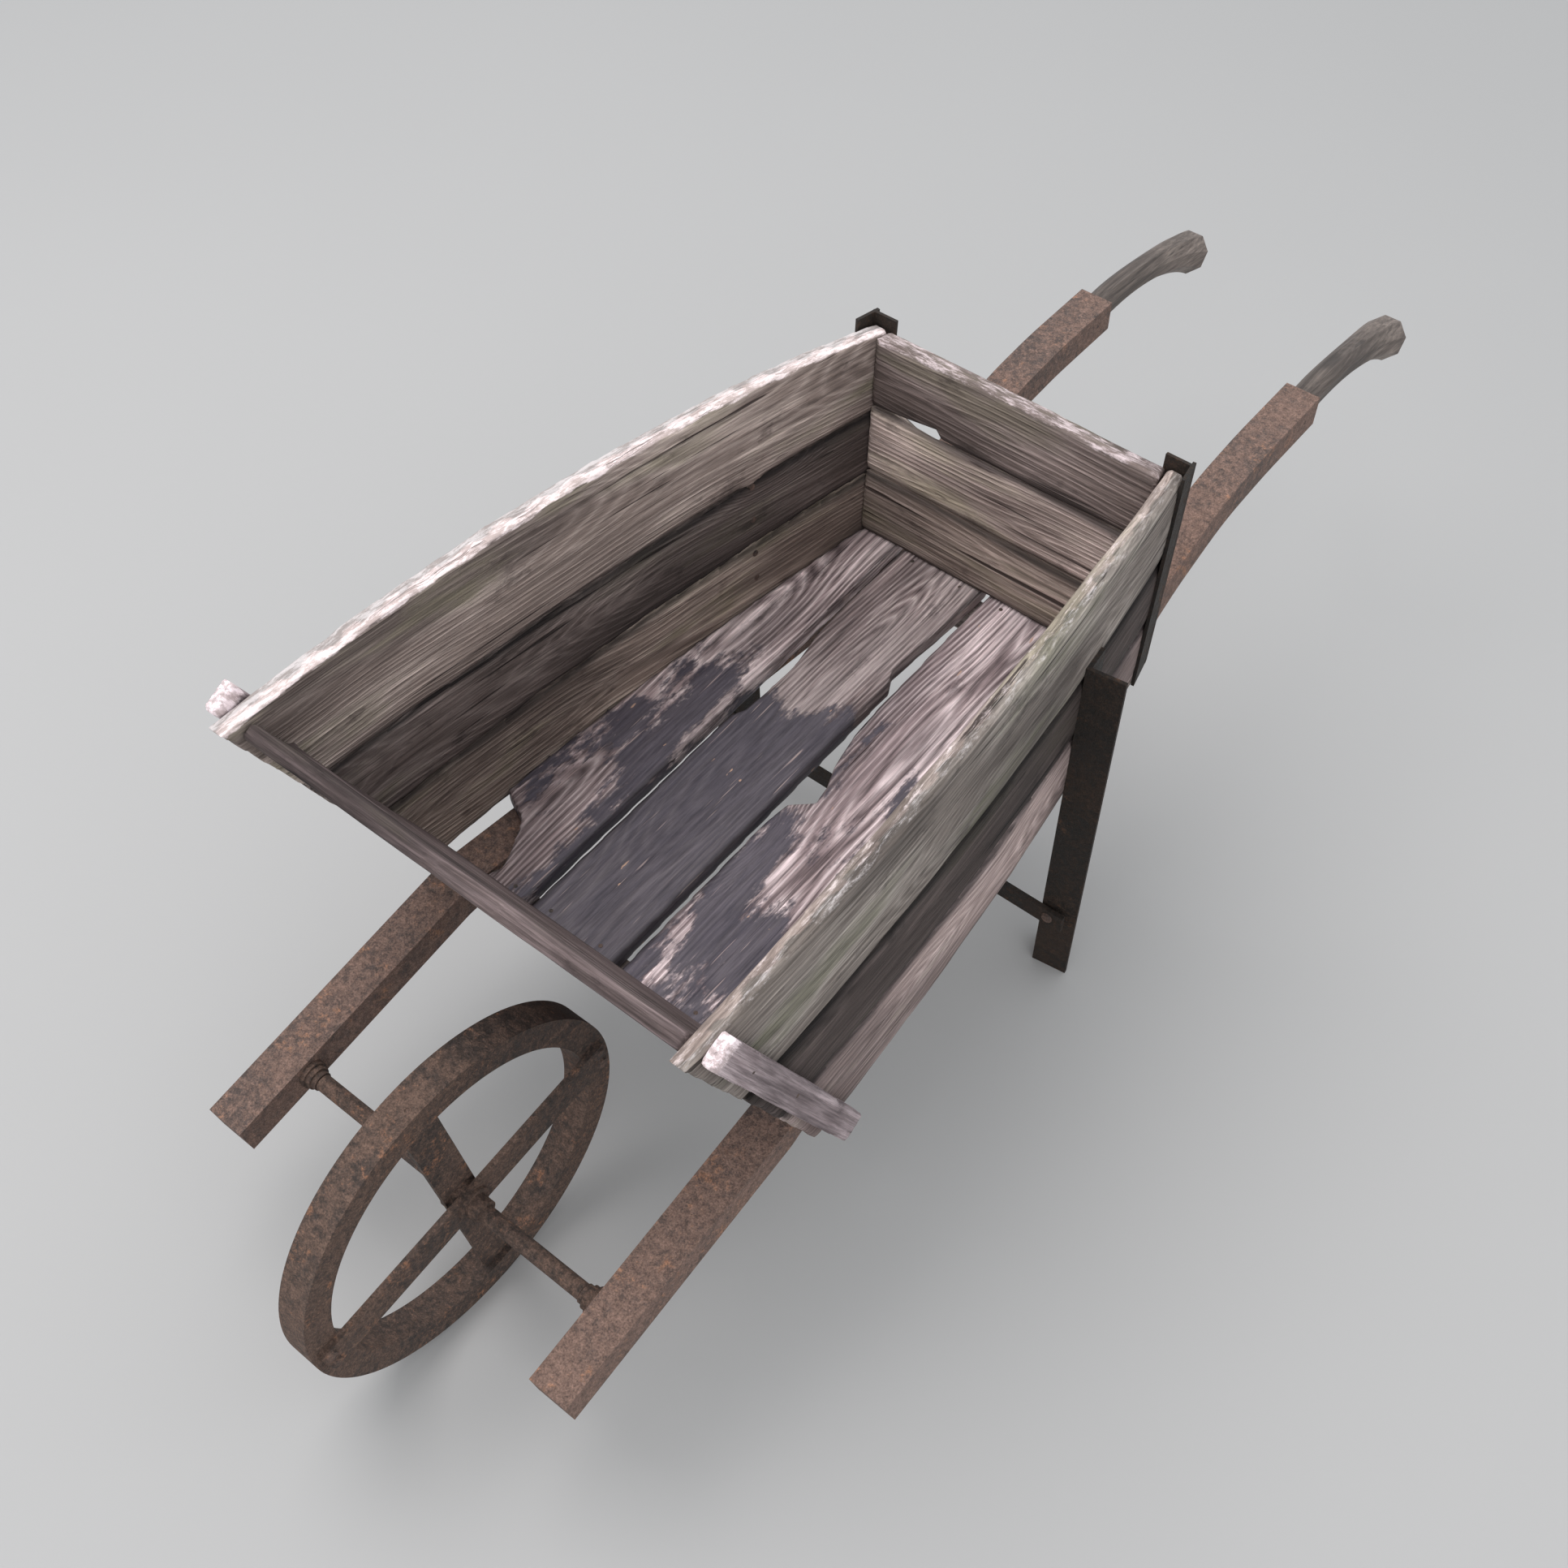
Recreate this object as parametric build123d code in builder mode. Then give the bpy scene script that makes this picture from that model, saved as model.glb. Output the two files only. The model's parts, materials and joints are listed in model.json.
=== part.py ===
from build123d import *
from math import asin, atan, cos, hypot, radians, sin, sqrt, tan
import os

# A low farm barrow: two bent iron shafts carry a tapered board tray between an
# iron wheel at the front and a pair of wooden grips at the rear.
# Millimetres, +Z up.  The wheel end is at -Y, the grips at +Y, and X is across.
# The origin is on the ground, under the middle of the whole barrow.

# ---------------------------------------------------------------- overall size
overall_length = 1864.0
wheel_radius = 211.0
axle_y = wheel_radius - overall_length / 2

# ---------------------------------------------------------------- clearances
fit = 0.05            # radial play of a pin, nail or rivet in its hole
running_fit = 0.08    # radial play of the axle in its bearings
seat = 0.3            # play between boards that butt together
tall = 1000.0         # deep enough to cut through anything here

# ---------------------------------------------------------------- shafts
shaft_width = 47.0
shaft_depth = 42.0
shaft_wall = 4.0
front_half_track = 227.0     # shaft centre to barrow centre beside the wheel
rear_half_track = 153.5      # the same between the grips
shaft_nose = 92.0            # shaft centre line ahead of the axle
shaft_front_slope = 12.9     # degrees, wheel to tray
tray_slope = 4.7             # degrees, under the tray
track_bend_start = 240.0     # behind the axle, where the shafts start to close in
track_bend_end = 960.0       # where they run parallel again
track_bend_radius = 150.0
shaft_end = 1383.0           # rear end of the shafts, behind the axle
knee = 960.0                 # where the shafts climb away behind the tray
knee_rise, knee_run = 66.0, 100.0
crown_rise, crown_run = 44.0, 100.0
crest_rise, crest_run = 14.0, 100.0
handle_rise = 7.0
shaft_bend_radii = (60.0, 60.0, 300.0, 300.0, 600.0)

# ---------------------------------------------------------------- grips
# Stations along a grip: share of its length, rise, tilt in degrees and radius.
grip_stations = [
    (0.00, 0.0, 0.0, 18.0),
    (0.25, 4.0, 0.0, 18.0),
    (0.50, -3.0, -9.0, 19.0),
    (0.75, -18.0, -20.0, 23.5),
]
grip_sides = 8
grip_end_drop = 38.5
grip_knob_radius = 30.0
grip_knob_tilt = 32.0        # the knob's end faces back and down
grip_tenon = 60.0
tenon_side_play = 0.6
tenon_top_play = 4.0         # the tenon is straight and the shaft's bore climbs a little
grip_pin_radius = 3.0

# ---------------------------------------------------------------- tray
tray_start = 250.0           # behind the axle, where the tray floor meets the shafts
floor_front = 238.0          # front end of the floor planks
floor_thickness = 20.0
plank_width = 127.0
plank_gap = 8.0
side_thickness = 24.0
side_front_top_y = 40.0      # front top corner of the sides
side_front_half = 262.0      # inner half width of the tray there
side_rear_half = 187.0       # inner half width at the rear panel
side_bow = 18.0              # the sides bow out this far midway along
side_front_height = 658.0
side_crown = 23.0            # the top edge rises this much more midway along
side_seams = (0.0, 0.33, 0.63, 1.0)
side_rear_height = 650.0
front_lean = 28.3            # degrees, the front boards lean out over the wheel
front_setback = 33.0         # front panel behind the raked ends of the sides
front_thickness = 18.0
front_height = 655.0
rear_inner_y = 916.0
rear_thickness = 26.0
rear_height = 648.0
boards_per_panel = 3
board_gap = 1.5

# ---------------------------------------------------------------- battens, irons, legs
batten_width = 34.0
batten_thickness = 15.0
batten_setback = 14.0
batten_top = 663.0
batten_bottom = 258.0
iron_flange = 30.0
iron_thickness = 4.0
iron_top = 660.0
iron_bottom = 352.0
iron_bottom_rise = 14.0
leg_front_y = 712.0          # front face of a leg at its top end
leg_top = 555.0
leg_lean = 4.4               # degrees, feet set back
leg_side_flange = 38.0
leg_front_flange = 45.0
leg_thickness = 5.0
leg_rivet_heights = (385.0, 425.0, 480.0, 530.0)
brace_height = 115.0
brace_width = 28.0
brace_thickness = 6.0
brace_overlap = 34.0

# ---------------------------------------------------------------- bearers and nails
bearer_width = 30.0
bearer_depth = 36.0
bearer_inset = 14.0          # bearers behind or ahead of the floor's ends
lag_radius = 4.0
lag_length = 95.0
lag_head = 13.0
lag_head_height = 5.0
nail_radius = 2.5
nail_length = 46.0
floor_nail_length = 34.0
batten_nail_length = 36.0
nail_inset = 26.0            # nails from the edges of the floor planks
rivet_radius = 4.0
rivet_head = 7.5
rivet_head_height = 2.5
rivet_tail = 4.0

# ---------------------------------------------------------------- wheel
rim_thickness = 33.0
rim_width = 35.0
wheel_offset = 9.0           # the wheel sits a little to the right on its axle
spoke_depth = 40.0
spoke_thickness = 7.0
long_spoke_slope = 10.5
long_spoke_end_margin = 8.0
axle_radius = 9.5
journal_radius = 7.5
journal_reach = 12.0         # how far the journals reach into the shafts
axle_end_play = 1.0
hub_flange_radius = 20.0
hub_flange_length = 4.0
hub_sleeve_radius = 14.0
hub_sleeve_length = 14.0
hub_pin_radius = 2.5
tread_rivet_radius = 2.5
tread_rivet_length = 58.0
tread_rivet_sink = 1.0
bearing_radii = (16.0, 13.5, 11.0)
bearing_step = 6.0
bearing_spigot_radius = 10.5
spigot_depth = 16.0

CENTRE, LOW, HIGH = Align.CENTER, Align.MIN, Align.MAX


def save(name, part):
    """Labels a finished piece and writes it to its own file."""
    part.label = name
    export_step(part, f"parts/{name}.step")


def save_pair(name, part):
    """Writes the right-hand piece and its mirror image on the left."""
    save(f"{name}_right", part)
    with BuildPart() as other:
        mirror(part, about=Plane.YZ)
    save(f"{name}_left", other.part)


def holes(places, radius, depth):
    """Drills the active part from each place, down its local Z axis."""
    for place in places:
        with Locations(place):
            Cylinder(radius + fit, depth, align=(CENTRE, CENTRE, HIGH), mode=Mode.SUBTRACT)


def shanks(places, radius, depth):
    """Adds a flush nail or rivet at each place, down its local Z axis."""
    for place in places:
        with Locations(place):
            Cylinder(radius, depth, align=(CENTRE, CENTRE, HIGH))


def both_sides(places):
    """The given places and their mirror images in the barrow's middle plane."""
    flipped = []
    for place in places:
        origin, normal = place.origin, place.z_dir
        flipped.append(Plane((-origin.X, origin.Y, origin.Z), z_dir=(-normal.X, normal.Y, normal.Z)))
    return places + flipped


# ---------------------------------------------------------------- tray planes
# In plan each side is an arc, bowed out from the line between its two ends.
side_angle = atan((side_front_half - side_rear_half) / (rear_inner_y - side_front_top_y))
half_chord = hypot(side_front_half - side_rear_half, rear_inner_y - side_front_top_y) / 2
side_radius = (half_chord**2 + side_bow**2) / (2 * side_bow)
chord_middle = Vector(
    (side_front_half + side_rear_half) / 2, axle_y + (side_front_top_y + rear_inner_y) / 2, 0
)
side_centre = chord_middle - Vector(cos(side_angle), sin(side_angle), 0) * (side_radius - side_bow)
side_reach = (
    side_front_top_y - 2 * front_half_track,
    (side_front_top_y + rear_inner_y) / 2,
    rear_inner_y + 2 * front_half_track,
)


def side_face(y, out=0.0):
    """Plane on a side's inner face at y behind the axle, or out beyond it, facing outward."""
    turn = asin((axle_y + y - side_centre.Y) / side_radius)
    outward = Vector(cos(turn), sin(turn), 0)
    spot = Vector(side_half(y), axle_y + y, 0) + outward * out
    return Plane(spot, x_dir=(-sin(turn), cos(turn), 0), z_dir=outward)


def side_half(y):
    """Inner half width of the tray at y behind the axle."""
    return side_centre.X + sqrt(side_radius**2 - (axle_y + y - side_centre.Y) ** 2)


def on_side(y, z, out=0.0):
    """Plane on a side's outer face, or out beyond it, at y behind the axle and height z."""
    face = side_face(y, side_thickness + out)
    return Plane(face.origin + Vector(0, 0, z), z_dir=face.z_dir)


def side_layer(start, end):
    """A curved upright wall between two distances outside the right side's inner face."""
    near = [side_face(y, start).origin for y in side_reach]
    far = [side_face(y, end).origin for y in side_reach]
    with BuildPart() as layer:
        with BuildSketch(Plane.XY):
            with BuildLine():
                ThreePointArc(*near)
                Line(near[-1], far[-1])
                ThreePointArc(*reversed(far))
                Line(far[0], near[0])
            make_face()
        extrude(amount=tall)
    return layer.part


side_wall = side_layer(0, side_thickness)

# What lies between the two sides.
inner_line = [side_face(y, -seat).origin for y in side_reach]
with BuildPart() as between_sides:
    with BuildSketch(Plane.XY):
        with BuildLine():
            ThreePointArc(*inner_line)
            Polyline(inner_line[-1], (0, inner_line[-1].Y), (0, inner_line[0].Y), inner_line[0])
        make_face()
        mirror(about=Plane.YZ)
    extrude(amount=tall)


# The shafts' top line under the tray carries the floor.
track_slope = tan(radians(shaft_front_slope))
half_rise = shaft_depth / 2 / cos(radians(tray_slope))
tray_base = wheel_radius + tray_start * track_slope + half_rise


def floor_bottom(y):
    """Height of the underside of the floor at y behind the axle."""
    return tray_base + (y - tray_start) * tan(radians(tray_slope))


floor_up = Vector(0, -sin(radians(tray_slope)), cos(radians(tray_slope)))
floor_plane = Plane((0, axle_y + tray_start, tray_base), x_dir=(1, 0, 0), z_dir=floor_up)
floor_top_plane = floor_plane.offset(floor_thickness)


def floor_v(y):
    """Distance along the floor's slope from the tray's start to y behind the axle."""
    return (y - tray_start) / cos(radians(tray_slope))


front_out = Vector(0, -cos(radians(front_lean)), -sin(radians(front_lean)))
front_inner_y = side_front_top_y + front_setback
front_inner = Plane((0, axle_y + front_inner_y, front_height), x_dir=(1, 0, 0), z_dir=front_out)
rear_inner = Plane((0, axle_y + rear_inner_y, 0), x_dir=(-1, 0, 0), z_dir=(0, 1, 0))
rear_outer_y = rear_inner_y + rear_thickness

os.makedirs("parts", exist_ok=True)

# ---------------------------------------------------------------- shafts
nose_y = -shaft_nose
knee_z = floor_bottom(knee) - half_rise
crown_y, crown_z = knee + knee_run, knee_z + knee_rise
crest_y, crest_z = crown_y + crown_run, crown_z + crown_rise
handle_y, handle_z = crest_y + crest_run, crest_z + crest_rise
shaft_end_z = handle_z + handle_rise
shaft_line = [
    (axle_y + nose_y, wheel_radius + nose_y * track_slope),
    (axle_y + tray_start, tray_base - half_rise),
    (axle_y + knee, knee_z),
    (axle_y + crown_y, crown_z),
    (axle_y + crest_y, crest_z),
    (axle_y + handle_y, handle_z),
    (axle_y + shaft_end, shaft_end_z),
]
track_line = [
    (front_half_track, axle_y + nose_y - shaft_width),
    (front_half_track, axle_y + track_bend_start),
    (rear_half_track, axle_y + track_bend_end),
    (rear_half_track, axle_y + shaft_end + shaft_width),
]


def shaft_bar(width, depth, start=0.0):
    """A bent bar: its side view crossed with its plan view, from start behind the nose."""
    line = list(shaft_line)
    line[0] = (line[0][0] + start, line[0][1] + start * track_slope)
    with BuildPart() as bar:
        with BuildSketch(Plane.YZ):
            with BuildLine() as side_wire:
                FilletPolyline(*line, radius=list(shaft_bend_radii))
            trace(side_wire.line, line_width=depth)
        extrude(amount=2 * front_half_track)
        with BuildSketch(Plane.XY):
            with BuildLine() as plan_wire:
                FilletPolyline(*track_line, radius=track_bend_radius)
            trace(plan_wire.line, line_width=width)
        extrude(amount=tall, mode=Mode.INTERSECT)
    return bar.part


shaft_solid = shaft_bar(shaft_width, shaft_depth)
shaft_bore = shaft_bar(shaft_width - 2 * shaft_wall, shaft_depth - 2 * shaft_wall, start=shaft_wall)

# Bearers lie between the shafts, flush with their tops, near the floor's two ends.
track_angle = atan((front_half_track - rear_half_track) / (track_bend_end - track_bend_start))
front_bearer_y = floor_front + bearer_inset
rear_bearer_y = rear_outer_y - bearer_inset - bearer_width


def shaft_middle(y):
    """Half the distance between the shafts' centre lines at y behind the axle."""
    return front_half_track - (y - track_bend_start) * tan(track_angle)


def lag_place(y):
    """Where a lag screw's head seats on the outer face of the right-hand shaft."""
    outward = Vector(cos(track_angle), sin(track_angle), 0)
    middle = Vector(shaft_middle(y), axle_y + y, floor_bottom(y) - half_rise)
    return Plane(middle + outward * (shaft_width / 2), z_dir=outward)


lag_places = [lag_place(front_bearer_y + bearer_width / 2), lag_place(rear_bearer_y + bearer_width / 2)]
grip_pin_y = axle_y + shaft_end - grip_tenon / 2
grip_pin_z = shaft_end_z - handle_rise / 4
grip_pin_places = [Plane((rear_half_track + shaft_width / 2, grip_pin_y, grip_pin_z), z_dir=(1, 0, 0))]
bearing_place = Plane((front_half_track - shaft_width / 2, axle_y, wheel_radius), z_dir=(-1, 0, 0))

with BuildPart() as shaft:
    add(shaft_solid)
    add(shaft_bore, mode=Mode.SUBTRACT)
    holes(lag_places, lag_radius, shaft_width + shaft_wall)
    holes(grip_pin_places, grip_pin_radius, shaft_width + shaft_wall)
    holes([bearing_place.offset(1)], bearing_spigot_radius, shaft_wall + 2)
save_pair("shaft", shaft.part)

with BuildPart() as bearing:
    with BuildSketch(bearing_place):
        Circle(bearing_spigot_radius)
    extrude(amount=-spigot_depth)
    for step, radius in enumerate(bearing_radii):
        with BuildSketch(bearing_place.offset(step * bearing_step)):
            Circle(radius)
        extrude(amount=bearing_step)
    with Locations(bearing_place):
        Cylinder(journal_radius + running_fit, 4 * bearing_step * len(bearing_radii), mode=Mode.SUBTRACT)
save_pair("axle_bearing", bearing.part)

# ---------------------------------------------------------------- grips
grip_length = overall_length / 2 - (axle_y + shaft_end)
grip_root = Plane(
    (rear_half_track, axle_y + shaft_end, shaft_end_z), x_dir=(-1, 0, 0), z_dir=(0, 1, 0)
)
# The knob's top edge leans back to the very end of the barrow.
knob_lean = grip_knob_radius * cos(radians(180 / grip_sides)) * sin(radians(grip_knob_tilt))
knob_share = 1 - knob_lean / grip_length
knob_station = (knob_share, -grip_end_drop, -grip_knob_tilt, grip_knob_radius)

with BuildPart() as grip:
    for share, rise, tilt, radius in grip_stations + [knob_station]:
        across = Plane(
            grip_root.origin + Vector(0, share * grip_length, rise),
            x_dir=(-1, 0, 0),
            z_dir=(0, cos(radians(tilt)), sin(radians(tilt))),
        )
        with BuildSketch(across):
            RegularPolygon(radius, grip_sides, rotation=180 / grip_sides)
    loft()
    with BuildSketch(grip_root):
        Rectangle(
            shaft_width - 2 * shaft_wall - 2 * tenon_side_play,
            shaft_depth - 2 * shaft_wall - 2 * tenon_top_play,
        )
    extrude(amount=-grip_tenon)
    holes(grip_pin_places, grip_pin_radius, shaft_width)
save_pair("grip", grip.part)

with BuildPart() as grip_pins:
    shanks(both_sides(grip_pin_places), grip_pin_radius, shaft_width)
save("grip_pins", grip_pins.part)

# ---------------------------------------------------------------- bearers
def floor_nails(bearer_y):
    """The nails through the planks into one bearer, as far out as the bearer reaches."""
    v = floor_v(bearer_y + bearer_width / 2)
    shaft_inner = shaft_middle(bearer_y) - shaft_width / 2
    across = [plank_gap / 2 + nail_inset, plank_width - nail_inset, plank_width + nail_inset]
    places = []
    for x in [x for x in across if x < shaft_inner - nail_inset / 2]:
        spot = floor_top_plane.from_local_coords(Vector(x, v, 0))
        places.append(Plane(spot, z_dir=floor_up))
    return both_sides(places)


for name, start, lag in (("front", front_bearer_y, 0), ("rear", rear_bearer_y, 1)):
    with BuildPart() as bearer:
        with BuildSketch(floor_plane):
            with Locations((0, floor_v(start))):
                Rectangle(2 * shaft_middle(start + bearer_width), bearer_width, align=(CENTRE, LOW))
        extrude(amount=-bearer_depth)
        add(shaft_solid, mode=Mode.SUBTRACT)
        add(shaft_solid.mirror(Plane.YZ), mode=Mode.SUBTRACT)
        holes(both_sides([lag_places[lag]]), lag_radius, lag_length)
        holes(floor_nails(start), nail_radius, floor_nail_length)
    save(f"{name}_bearer", bearer.part)

with BuildPart() as lag_screws:
    shanks(both_sides(lag_places), lag_radius, lag_length)
    for place in both_sides(lag_places):
        with BuildSketch(place):
            Rectangle(lag_head, lag_head)
        extrude(amount=lag_head_height)
save("bearer_lag_screws", lag_screws.part)

# ---------------------------------------------------------------- floor
floor_nail_places = floor_nails(front_bearer_y) + floor_nails(rear_bearer_y)
plank_start, plank_end = floor_v(floor_front), floor_v(rear_outer_y)

with BuildPart() as inner_plank:
    with BuildSketch(floor_plane):
        with Locations((plank_gap / 2, plank_start)):
            Rectangle(plank_width - plank_gap, plank_end - plank_start, align=(LOW, LOW))
    extrude(amount=floor_thickness)
    holes(floor_nail_places, nail_radius, floor_nail_length)
save_pair("floor_plank_inner", inner_plank.part)

with BuildPart() as outer_plank:
    with BuildSketch(floor_plane):
        with Locations((plank_width + plank_gap / 2, plank_start)):
            Rectangle(plank_width + side_bow, plank_end - plank_start, align=(LOW, LOW))
    extrude(amount=floor_thickness)
    add(between_sides.part, mode=Mode.INTERSECT)
    holes(floor_nail_places, nail_radius, floor_nail_length)
save_pair("floor_plank_outer", outer_plank.part)

with BuildPart() as nails:
    shanks(floor_nail_places, nail_radius, floor_nail_length)
save("floor_nails", nails.part)

# ---------------------------------------------------------------- side boards
rake = tan(radians(front_lean))
side_front_foot_y = side_front_top_y + (side_front_height - floor_bottom(floor_front)) * rake
foot_z = floor_bottom(side_front_foot_y)


def side_edge(share, drop=0.0):
    """Front and rear ends of a line along a side, at a share of its height, moved down by drop."""
    front_z = foot_z + share * (side_front_height - foot_z)
    front_y = side_front_top_y + (side_front_height - front_z) * rake
    rear_foot_z = floor_bottom(rear_outer_y)
    rear_z = rear_foot_z + share * (side_rear_height - rear_foot_z)
    return [(axle_y + front_y, front_z - drop), (axle_y + rear_outer_y, rear_z - drop)]


def batten_y(z):
    """Front edge of a batten at height z."""
    return side_front_top_y + batten_setback + (side_front_height - z) * rake


def board_share(board):
    """Mid height of a board, as a share of its panel's height."""
    return (board + 0.5) / boards_per_panel


# Nails through each batten and each corner iron, one for each board.
batten_nail_places = []
iron_nail_places = []
for board in range(boards_per_panel):
    share = board_share(board)
    z = foot_z + share * (side_front_height - foot_z)
    y = batten_y(z) + batten_width / 2 / cos(radians(front_lean))
    batten_nail_places.append(on_side(y, z, batten_thickness))
    z = floor_bottom(rear_outer_y) + share * (side_rear_height - floor_bottom(rear_outer_y))
    iron_nail_places.append(on_side(rear_inner_y + rear_thickness / 2, z, iron_thickness))

# Nails through the sides into the ends of the front boards.
front_foot_v = (foot_z + floor_thickness - front_height) / cos(radians(front_lean))
front_nail_places = []
for board in range(boards_per_panel):
    v = front_foot_v * (1 - board_share(board))
    middle = front_inner.offset(front_thickness / 2).from_local_coords(Vector(0, v, 0))
    front_nail_places.append(on_side(middle.Y - axle_y, middle.Z, -fit))

# Rivets through each leg's side flange, two in the bottom board and two in the middle one.
leg_slant = tan(radians(leg_lean))
leg_face_y = leg_front_y + leg_side_flange / 2
leg_face = side_face(leg_face_y, side_thickness)


def leg_y(z):
    """Front edge of a leg behind the axle, at height z."""
    return leg_front_y + (leg_top - z) * leg_slant


leg_rivet_places = []
for z in leg_rivet_heights:
    y = leg_y(z) + (leg_side_flange + leg_thickness) / 2
    spot = leg_face.offset(leg_thickness).from_local_coords(Vector(y - leg_face_y, z, 0))
    leg_rivet_places.append(Plane(spot, z_dir=leg_face.z_dir))

board_names = ("bottom", "middle", "top")
crown_spot = Vector(*side_edge(1)[0]) + Vector(*side_edge(1)[1])
crown_spot = crown_spot / 2 + Vector(0, side_crown)
for board, name in enumerate(board_names):
    lower = side_edge(side_seams[board], board_gap if board == 0 else 0)
    with BuildPart() as side_board:
        with BuildSketch(Plane.YZ):
            with BuildLine():
                if name == "top":
                    upper = side_edge(1)
                    ThreePointArc(upper[0], crown_spot, upper[1])
                else:
                    upper = side_edge(side_seams[board + 1], board_gap)
                    Line(upper[0], upper[1])
                Polyline(upper[1], lower[1], lower[0], upper[0])
            make_face()
        extrude(amount=2 * side_front_half)
        add(side_wall, mode=Mode.INTERSECT)
        split(bisect_by=floor_plane, keep=Keep.TOP)
        holes(batten_nail_places, nail_radius, nail_length)
        holes(iron_nail_places, nail_radius, nail_length)
        holes(front_nail_places, nail_radius, nail_length)
        holes(leg_rivet_places, rivet_radius, side_thickness + 2 * leg_thickness)
    save_pair(f"side_board_{name}", side_board.part)

# ---------------------------------------------------------------- front boards
for board, name in enumerate(board_names):
    low = front_foot_v * (1 - board / boards_per_panel) - (2 * floor_thickness if board == 0 else 0)
    high = front_foot_v * (1 - (board + 1) / boards_per_panel)
    gap = board_gap if board < boards_per_panel - 1 else 0
    with BuildPart() as front_board:
        with BuildSketch(front_inner):
            with Locations((0, low)):
                Rectangle(2 * side_front_half + 2 * side_thickness, high - low - gap, align=(CENTRE, LOW))
        extrude(amount=front_thickness)
        add(between_sides.part, mode=Mode.INTERSECT)
        split(bisect_by=floor_top_plane, keep=Keep.TOP)
        holes(both_sides(front_nail_places), nail_radius, nail_length)
    save(f"front_board_{name}", front_board.part)

with BuildPart() as front_nails:
    shanks(both_sides(front_nail_places), nail_radius, nail_length)
save("front_board_nails", front_nails.part)

# ---------------------------------------------------------------- rear boards
rear_foot = floor_bottom(rear_inner_y) + floor_thickness
for board, name in enumerate(board_names):
    low = rear_foot + board * (rear_height - rear_foot) / boards_per_panel
    low -= floor_thickness / 2 if board == 0 else 0
    high = rear_foot + (board + 1) * (rear_height - rear_foot) / boards_per_panel
    gap = board_gap if board < boards_per_panel - 1 else 0
    with BuildPart() as rear_board:
        with BuildSketch(rear_inner):
            with Locations((0, low)):
                Rectangle(2 * side_front_half, high - low - gap, align=(CENTRE, LOW))
        extrude(amount=rear_thickness)
        add(between_sides.part, mode=Mode.INTERSECT)
        split(bisect_by=floor_top_plane, keep=Keep.TOP)
        holes(both_sides(iron_nail_places), nail_radius, nail_length)
    save(f"rear_board_{name}", rear_board.part)

# ---------------------------------------------------------------- battens
batten_rise = batten_width * sin(radians(front_lean))
batten_run = batten_width * cos(radians(front_lean))
batten_front = [(axle_y + batten_y(z), z) for z in (batten_bottom, batten_top)]
batten_rear = [(y + batten_run, z + batten_rise) for y, z in reversed(batten_front)]
with BuildPart() as batten:
    with BuildSketch(Plane.YZ):
        with BuildLine():
            Polyline(*batten_front, *batten_rear, close=True)
        make_face()
    extrude(amount=2 * side_front_half)
    add(side_layer(side_thickness, side_thickness + batten_thickness), mode=Mode.INTERSECT)
    holes(batten_nail_places, nail_radius, nail_length)
save_pair("front_batten", batten.part)

with BuildPart() as batten_nails:
    shanks(both_sides(batten_nail_places), nail_radius, batten_nail_length)
save("batten_nails", batten_nails.part)

# ---------------------------------------------------------------- corner irons
iron_face = side_face(rear_outer_y - iron_flange / 2, side_thickness)
corner_x = side_half(rear_outer_y) + side_thickness / cos(asin(iron_face.z_dir.Y))
corner_plane = Plane((corner_x, axle_y + rear_outer_y, 0), x_dir=(-1, 0, 0), z_dir=(0, 1, 0))
with BuildPart() as corner_iron:
    with BuildSketch(iron_face):
        with BuildLine():
            Polyline(
                (-iron_flange / 2, iron_bottom),
                (iron_flange / 2 + iron_thickness, iron_bottom + iron_bottom_rise),
                (iron_flange / 2 + iron_thickness, iron_top),
                (-iron_flange / 2, iron_top),
                close=True,
            )
        make_face()
    extrude(amount=iron_thickness)
    with BuildSketch(corner_plane):
        with BuildLine():
            Polyline(
                (-iron_thickness, iron_bottom + iron_bottom_rise),
                (iron_flange, iron_bottom + 2 * iron_bottom_rise),
                (iron_flange, iron_top),
                (-iron_thickness, iron_top),
                close=True,
            )
        make_face()
    extrude(amount=iron_thickness)
    holes(iron_nail_places, nail_radius, nail_length)
save_pair("corner_iron", corner_iron.part)

with BuildPart() as iron_nails:
    shanks(both_sides(iron_nail_places), nail_radius, nail_length)
save("corner_iron_nails", iron_nails.part)

# ---------------------------------------------------------------- legs and brace
def leg_outline(width):
    """A leaning strip of the given width on the leg's face, level at the top and the foot."""
    top, foot = leg_y(leg_top) - leg_face_y, leg_y(0) - leg_face_y
    return [(top, leg_top), (foot, 0), (foot + width, 0), (top + width, leg_top)]


brace_back_y = leg_y(brace_height)
brace_touch_x = leg_face.from_local_coords(Vector(brace_back_y - leg_face_y, 0, 0)).X
brace_plane = Plane(
    (0, axle_y + brace_back_y - seat, brace_height),
    x_dir=(1, 0, 0),
    z_dir=(0, -cos(radians(leg_lean)), -sin(radians(leg_lean))),
)
brace_rivet_x = brace_touch_x + brace_overlap * 0.4
brace_rivet_places = []
for x in (-brace_rivet_x, brace_rivet_x):
    spot = brace_plane.offset(brace_thickness).from_local_coords(Vector(x, 0, 0))
    brace_rivet_places.append(Plane(spot, z_dir=brace_plane.z_dir))

with BuildPart() as leg:
    with BuildSketch(leg_face):
        with BuildLine():
            Polyline(*leg_outline(leg_side_flange), close=True)
        make_face()
    extrude(amount=leg_thickness)
    with BuildSketch(leg_face):
        with BuildLine():
            Polyline(*leg_outline(leg_thickness), close=True)
        make_face()
    extrude(amount=leg_front_flange)
    holes(leg_rivet_places, rivet_radius, leg_thickness * 2)
    holes(brace_rivet_places, rivet_radius, brace_thickness + 4 * leg_thickness)
save_pair("leg", leg.part)

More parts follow.
